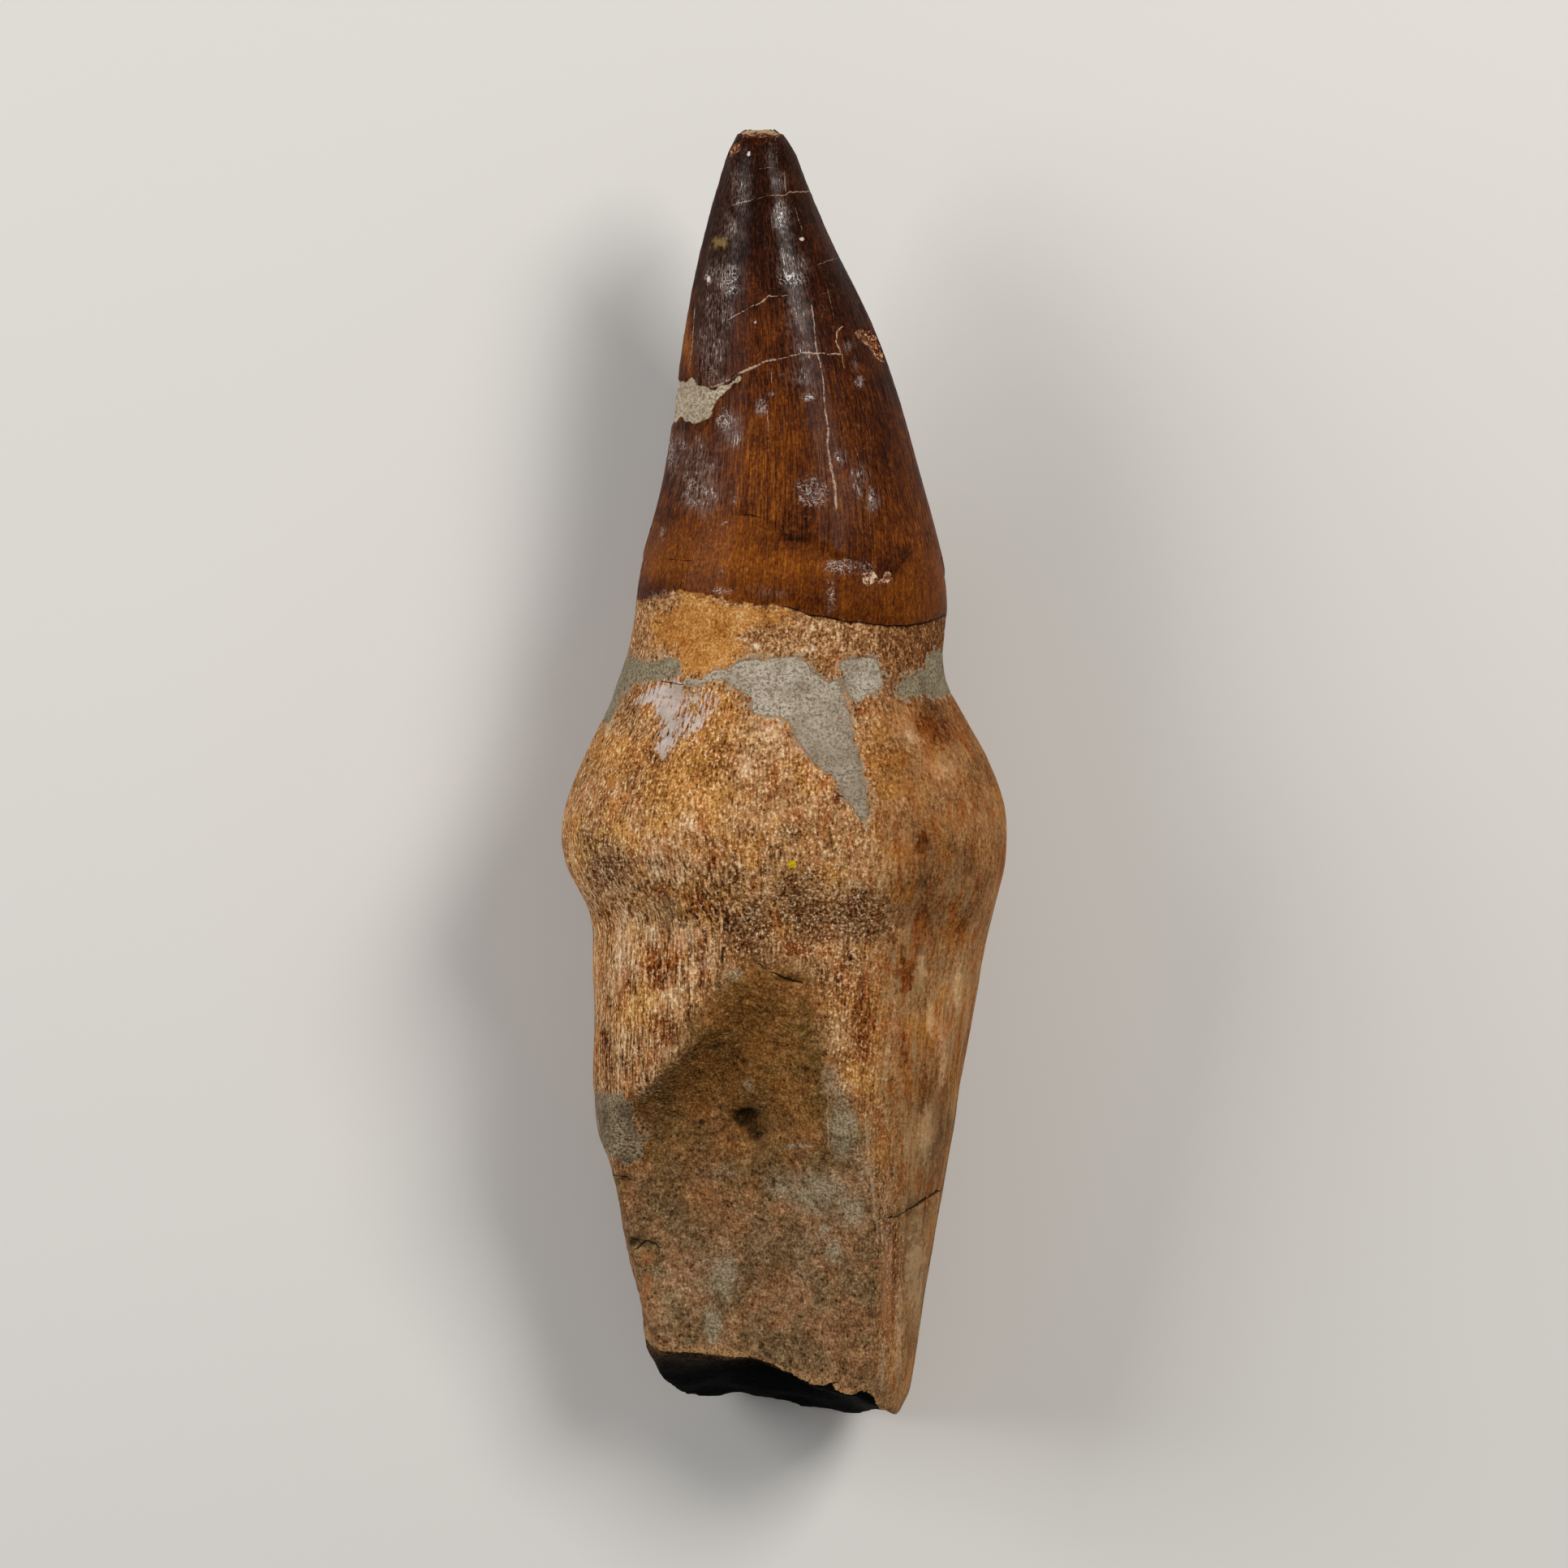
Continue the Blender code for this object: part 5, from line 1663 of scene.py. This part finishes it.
class FossilMaterial:
    """One material for crown, root, hollow and break, each finish shown where the marks put it.

    Attributes:
        bone_roughness: How rough everything but the enamel is.
        enamel_roughness: How rough the enamel is at its smoothest.
        enamel_coat: How much clear coat the enamel has away from the painted sheen.
        coat_roughness: How rough the clear coat is.
        specular: How strongly the surface reflects under the coat.
        material: The material.
    """

    enamel: EnamelFinish = EnamelFinish()
    bone: BoneFinish = BoneFinish()
    hollow: HollowFinish = HollowFinish()
    broken: BreakFinish = BreakFinish()
    bone_roughness: float = 0.62
    enamel_roughness: float = 0.24
    enamel_coat: float = 0.03
    coat_roughness: float = 0.2
    specular: float = 0.015

    def __init__(self, effects: Effects) -> None:
        """Builds the material.

        Args:
            effects: The shared effects.
        """
        self.material = bpy.data.materials.new("fossil_finish")
        self.material.use_nodes = True
        recipe = Recipe(self.material.node_tree)
        kit = Kit(recipe, effects)
        base, _, depth = kit.marks["zones"]
        chip, broken, _ = kit.marks["wear"]
        is_bone = kit.edge(base, kit.mottle, Ragged=0.3, Soft=0.14)
        is_hollow = kit.edge(depth, kit.patch, Ragged=1.2, Soft=1.3)
        is_chip = kit.edge(chip, kit.mottle, Ragged=0.15, Soft=0.05)
        is_broken = kit.edge(broken, kit.mottle, Ragged=0.1, Soft=0.06)
        dark_line = kit.line("dark_cracks", 0.11, 0.06)
        narrow = kit.streaks(0.14, 9.0, 4.0, 3.0)
        broad = kit.streaks(0.45, 26.0, 2.0, 2.0)
        film, shine = self.enamel.sheen(kit)
        colour = self.enamel.colour(kit, narrow, broad, film, shine)
        colour = recipe.blend(is_chip, colour, self.enamel.chipped(kit))
        colour = recipe.blend(is_bone, colour, self.bone.colour(kit))
        colour = recipe.blend(is_hollow, colour, self.hollow.colour(kit))
        # A painted highlight along the break's lit edge, then the break painted near black as painted shade
        colour = self.broken.paint_lip_highlight(kit, colour)
        colour = recipe.blend(is_broken, colour, self.broken.colour(kit))
        colour = recipe.blend(recipe.times(dark_line, 0.85), colour, paint(self.hollow.black))
        enamel = recipe.times(recipe.invert(is_bone), recipe.invert(is_chip))
        gloss = kit.total(self.enamel_roughness, recipe.times(kit.patch, 0.2), recipe.times(film, 0.1))
        shader = self.material.node_tree.nodes["Principled BSDF"]
        links = self.material.node_tree.links
        links.new(colour, shader.inputs["Base Color"])
        links.new(recipe.vary(enamel, self.bone_roughness, gloss), shader.inputs["Roughness"])
        coat = kit.total(self.enamel_coat, recipe.times(shine, 0.8), recipe.times(film, 0.06))
        links.new(recipe.times(enamel, coat), shader.inputs["Coat Weight"])
        shader.inputs["Coat Roughness"].default_value = self.coat_roughness
        shader.inputs["Specular IOR Level"].default_value = self.specular
        ribs = kit.total(recipe.times(narrow, 0.07), recipe.times(broad, 0.16))
        links.new(self.bump(kit, enamel, dark_line, ribs), shader.inputs["Normal"])

    def bump(self, kit: Kit, enamel: Socket, dark_line: Socket, ribs: Socket) -> Socket:
        """The fine relief: ribs on the enamel, fibres and grains on the bone.

        Args:
            kit: The material's shared nodes.
            enamel: How much of the surface is enamel.
            dark_line: Where the dark cracks are.
            ribs: The height of the enamel's ribs.

        Returns:
            The bent normal.
        """
        recipe = kit.recipe
        rough, _, _ = kit.marks["bone"]
        crust, _, _ = kit.marks["stains"]
        _, painted_sheen, painted_glints = kit.marks["crown"]
        sparks = recipe.times(kit.crumb[2], kit.total(painted_glints, recipe.times(painted_sheen, 0.3)), 0.06)
        smooth = kit.total(0.1, ribs, recipe.times(kit.grit, 0.02), sparks)
        fibres = recipe.times(kit.total(recipe.times(kit.fibre, 0.26), recipe.times(kit.splinter[2], 0.04)),
                              kit.total(0.3, recipe.times(kit.fibrous, 0.8)))
        pebbles = recipe.times(kit.crumb[2], kit.total(0.03, recipe.times(crust, 0.08)))
        grains = kit.total(pebbles, recipe.times(kit.grit, 0.15), recipe.times(kit.fleck, 0.12))
        bony = recipe.times(kit.total(fibres, grains), rough)
        height = recipe.vary(enamel, bony, smooth)
        height = recipe.math("SUBTRACT", height, recipe.times(dark_line, 0.12))
        return recipe.node("Bump", {"Height": height, "Distance": MM, "Strength": 1.0}).outputs[0]


@dataclass(frozen=True)
class PuttyFinish:
    """Matt putty: mottled and stained, with a fine grain and a few dark specks.

    Attributes:
        name: The material's name.
        body: The putty's usual colour.
        pale: The colour of its paler clouds.
        stain: The colour of its stains.
        specks: The colour of its dark specks.
        lower_stain: How much more stained it is towards its lower end.
        stain_start: Between which places along the tooth that stain begins.
        roughness: How rough its grains are, from the darkest to the lightest.
        specular: How strongly it reflects.
    """

    name: str
    body: str
    pale: str
    stain: str
    specks: str
    lower_stain: float = 0.0
    stain_start: tuple[float, float] = (6.5, 1.5)
    roughness: tuple[float, float] = (0.75, 0.9)
    specular: float = 0.25

    def build(self, effects: Effects) -> bpy.types.Material:
        """Builds the material.

        Args:
            effects: The shared effects.

        Returns:
            The material.
        """
        material = bpy.data.materials.new(self.name)
        material.use_nodes = True
        recipe = Recipe(material.node_tree)
        where = recipe.node("TexCoord").outputs["Object"]
        place = recipe.node("VectorMath", {0: where, "Scale": 1 / MM}, operation="SCALE").outputs[0]
        wide = {"Vector": place, "Scale": 0.45, "Detail": 6.0, "Roughness": 0.65}
        cloud = recipe.node("TexNoise", wide).outputs[0]
        narrow = {"Vector": place, "Scale": 4.0, "Detail": 3.0, "Roughness": 0.65}
        fine = recipe.node("TexNoise", narrow).outputs[0]
        tone, chance, height = effects.grains.use(recipe, Place=place, Size=0.17, Stretch=1.0)
        specks = recipe.times(recipe.math("LESS_THAN", chance, 0.09), height)
        colour = recipe.blend(recipe.rise(cloud, 0.38, 0.62), paint(self.body), paint(self.pale))
        along = recipe.node("SeparateXYZ", {0: place}).outputs[1]
        low = recipe.rise(along, *self.stain_start, self.lower_stain)
        stained = recipe.math("MAXIMUM", low, recipe.rise(cloud, 0.42, 0.3, 0.7))
        colour = recipe.blend(stained, colour, paint(self.stain))
        colour = recipe.blend(recipe.rise(fine, 0.56, 0.36, 0.95), colour, paint(self.stain))
        colour = recipe.blend(recipe.times(specks, 0.75), colour, paint(self.specks))
        shader = material.node_tree.nodes["Principled BSDF"]
        links = material.node_tree.links
        links.new(colour, shader.inputs["Base Color"])
        links.new(recipe.vary(tone, *self.roughness), shader.inputs["Roughness"])
        shader.inputs["Specular IOR Level"].default_value = self.specular
        relief = recipe.math("ADD", recipe.times(fine, 0.5), recipe.times(height, 0.07))
        bent = recipe.node("Bump", {"Height": relief, "Distance": MM}).outputs[0]
        links.new(bent, shader.inputs["Normal"])
        return material


NECK_PUTTY = PuttyFinish("neck_putty", "#bbac96", "#d6c8b4", "#8a775c", "#463d2e", 0.45)
SIDE_PUTTY = PuttyFinish("side_putty", "#96876a", "#ae9f80", "#6a5a41", "#3a3122")
CROWN_PUTTY = PuttyFinish("crown_putty", "#bfae93", "#d9caaf", "#93795a", "#57452c")
ROOT_PUTTY = PuttyFinish("root_putty", "#8a7659", "#b29c79", "#574127", "#2a1f11")
PUTTY_OF = {
    Repair.CROWN: CROWN_PUTTY,
    Repair.NECK_FRONT: NECK_PUTTY,
    Repair.NECK_SMALL: NECK_PUTTY,
    Repair.NECK_RIGHT: SIDE_PUTTY,
    Repair.NECK_LEFT: SIDE_PUTTY,
    Repair.ROOT: ROOT_PUTTY,
}


def copy_piece(piece: bpy.types.Object, name: str) -> bpy.types.Object:
    """Copies a piece, with a mesh of its own.

    Args:
        piece: The piece.
        name: The copy's name.

    Returns:
        The copy.
    """
    copy = piece.copy()
    copy.data = piece.data.copy()
    copy.name = copy.data.name = name
    bpy.context.scene.collection.objects.link(copy)
    return copy


def finish_piece(piece: bpy.types.Object, material: bpy.types.Material, node: str) -> None:
    """Dresses a piece and ties it to the frame.

    Args:
        piece: The piece.
        material: Its material.
        node: The frame's node that it stands for.
    """
    piece.data.materials.clear()
    piece.data.materials.append(material)
    activate(piece)
    bpy.ops.object.shade_smooth()
    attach(piece, "root")
    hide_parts(node)
    LOG.info("%s: %d faces", piece.name, len(piece.data.polygons))


@dataclass
class ToothBody:
    """Crown and root, sculpted from the skin.

    Attributes:
        relief: The heights of its details.
        ground: The level that it stays above, in millimetres.
        piece: The finished mesh.
    """

    relief: Relief = field(default_factory=Relief)
    ground: float = 0.0
    piece: bpy.types.Object = field(init=False)

    def build(self, skin: Skin, marks: Marks) -> None:
        """Sculpts the body.

        Args:
            skin: The plain skin.
            marks: The marks on it.
        """
        self.piece = copy_piece(skin.piece, "tooth_body")
        height = self.relief.of(skin, marks)
        moved = skin.points + skin.normals * height[:, None]
        moved[:, 2] = np.maximum(moved[:, 2], self.ground)
        move_points(self.piece, moved)
        marks.keep(self.piece)

    def dress(self, finish: FossilMaterial) -> None:
        """Gives the body its finish."""
        finish_piece(self.piece, finish.material, "tooth")


@dataclass
class PuttyPatch:
    """One putty repair: a thin inlay of the skin that stands a little proud of the tooth.

    Attributes:
        repair: Which patch it is.
        proud: How far it stands above the skin.
        rise_width: Over what width it rises from its edge.
        margin: How far its hidden rim reaches past the outline.
        rim_drop: How far the rim dips under the skin.
        dip: Between which distances inside the outline the rim dips.
        waviness: How high its waves are.
        wave: How long its waves are.
        thickness: How deep the inlay is.
        piece: The finished mesh.
    """

    repair: Repair
    proud: float = 0.05
    rise_width: float = 0.5
    margin: float = 0.7
    rim_drop: float = 0.35
    dip: tuple[float, float] = (0.06, -0.5)
    waviness: float = 0.035
    wave: float = 1.6
    thickness: float = 0.8
    piece: bpy.types.Object = field(init=False)

    def build(self, skin: Skin) -> None:
        """Cuts the patch out of the skin.

        Args:
            skin: The plain skin.
        """
        self.piece = copy_piece(skin.piece, self.repair.node.replace("filler", "putty"))
        depth = repair_distance(skin, self.repair)
        lift = self.proud * ease(depth, 0.0, self.rise_width) - self.rim_drop * ease(depth, *self.dip)
        lift += self.waviness * ripple(skin.points, (self.wave, self.wave, self.wave), 41.0)
        move_points(self.piece, skin.points + skin.normals * lift[:, None])
        self.cut(depth)
        apply_modifier(self.piece, "SOLIDIFY", thickness=self.thickness * MM, offset=-1.0)

    def cut(self, depth: np.ndarray) -> None:
        """Deletes what lies outside the patch and its margin.

        Args:
            depth: How far inside the patch each point is, in millimetres.
        """
        activate(self.piece)
        shape = bmesh.new()
        shape.from_mesh(self.piece.data)
        shape.verts.ensure_lookup_table()
        away = [shape.verts[place] for place in np.flatnonzero(depth < -self.margin)]
        bmesh.ops.delete(shape, geom=away, context="VERTS")
        shape.to_mesh(self.piece.data)
        shape.free()

    def dress(self, material: bpy.types.Material) -> None:
        """Gives the patch its finish."""
        finish_piece(self.piece, material, self.repair.node)


@dataclass(frozen=True)
class Lamp:
    """A soft square light that looks at the tooth.

    Attributes:
        name: Its name.
        place: Its place in metres.
        size: Its side in metres.
        power: Its power in watts.
        colour: Its colour.
    """

    name: str
    place: tuple[float, float, float]
    size: float
    power: float
    colour: tuple[float, float, float]

    def hang(self) -> None:
        """Adds the light."""
        light = bpy.data.lights.new(self.name, "AREA")
        light.size = self.size
        light.energy = self.power
        light.color = self.colour
        lamp = bpy.data.objects.new(self.name, light)
        lamp.location = self.place
        lamp.rotation_euler = Vector(self.place).to_track_quat("Z", "Y").to_euler()
        bpy.context.scene.collection.objects.link(lamp)


@dataclass(frozen=True)
class Studio:
    """A pale floor, soft lights and the photograph's camera.

    Attributes:
        floor_size: The side of the floor in metres.
        floor_drop: How far the floor lies below the tooth, in metres.
        floor_colour: The floor's colour.
        floor_roughness: The floor's roughness.
        sky_colour: The colour of the light from all round.
        sky_strength: The strength of the light from all round.
        lamps: The lights.
    """

    floor_size: float = 1.6
    floor_drop: float = 0.00005
    floor_colour: str = "#d9d6d0"
    floor_roughness: float = 0.9
    sky_colour: tuple[float, float, float, float] = (0.96, 0.97, 1.0, 1.0)
    sky_strength: float = 0.2
    lamps: tuple[Lamp, ...] = (
        Lamp("left", (-0.46, 0.14, 0.30), 0.32, 2.05, (0.98, 0.98, 1.0)),
        Lamp("right", (0.28, 0.22, 0.42), 0.2, 2.0, (1.0, 0.98, 0.95)),
    )

    def build(self) -> None:
        """Sets the camera, the floor and the lights."""
        self.set_camera()
        self.lay_floor()
        self.light()

    def set_camera(self) -> None:
        """Puts the camera straight above the tooth, as in the photograph."""
        lens = bpy.data.cameras.new("camera")
        lens.lens = LENS
        lens.sensor_width = SENSOR
        camera = bpy.data.objects.new("camera", lens)
        camera.location = Vector((*PHOTO_MIDDLE, CAMERA_HEIGHT)) * MM
        bpy.context.scene.collection.objects.link(camera)
        bpy.context.scene.camera = camera

    def lay_floor(self) -> None:
        """Lays the floor under the tooth."""
        bpy.ops.object.select_all(action="DESELECT")
        bpy.ops.mesh.primitive_plane_add(size=self.floor_size, location=(0, 0, -self.floor_drop))
        floor = bpy.context.active_object
        floor.name = "floor"
        material = bpy.data.materials.new("floor")
        material.use_nodes = True
        shader = material.node_tree.nodes["Principled BSDF"]
        shader.inputs["Base Color"].default_value = paint(self.floor_colour)
        shader.inputs["Roughness"].default_value = self.floor_roughness
        floor.data.materials.append(material)

    def light(self) -> None:
        """Sets the lights and the surroundings."""
        for lamp in self.lamps:
            lamp.hang()
        world = bpy.context.scene.world or bpy.data.worlds.new("surroundings")
        bpy.context.scene.world = world
        world.use_nodes = True
        ground = world.node_tree.nodes["Background"]
        ground.inputs["Color"].default_value = self.sky_colour
        ground.inputs["Strength"].default_value = self.sky_strength
        bpy.context.scene.view_settings.view_transform = "Standard"


def main() -> None:
    """Builds the tooth, its repairs and the studio."""
    logging.basicConfig(level=logging.INFO, format="%(name)s: %(message)s")
    for spare in [item for item in bpy.data.objects if item.name in {"Cube", "Light", "Camera"}]:
        bpy.data.objects.remove(spare)
    Studio().build()
    skin = Skin()
    skin.build(["tooth"] + [repair.node for repair in Repair])
    marks = Marks(skin)
    effects = Effects()
    body = ToothBody()
    body.build(skin, marks)
    body.dress(FossilMaterial(effects))
    finishes = (NECK_PUTTY, SIDE_PUTTY, CROWN_PUTTY, ROOT_PUTTY)
    materials = {finish: finish.build(effects) for finish in finishes}
    for repair in Repair:
        patch = PuttyPatch(repair)
        patch.build(skin)
        patch.dress(materials[PUTTY_OF[repair]])
    bpy.data.objects.remove(skin.piece)


if __name__ == "__main__":
    main()
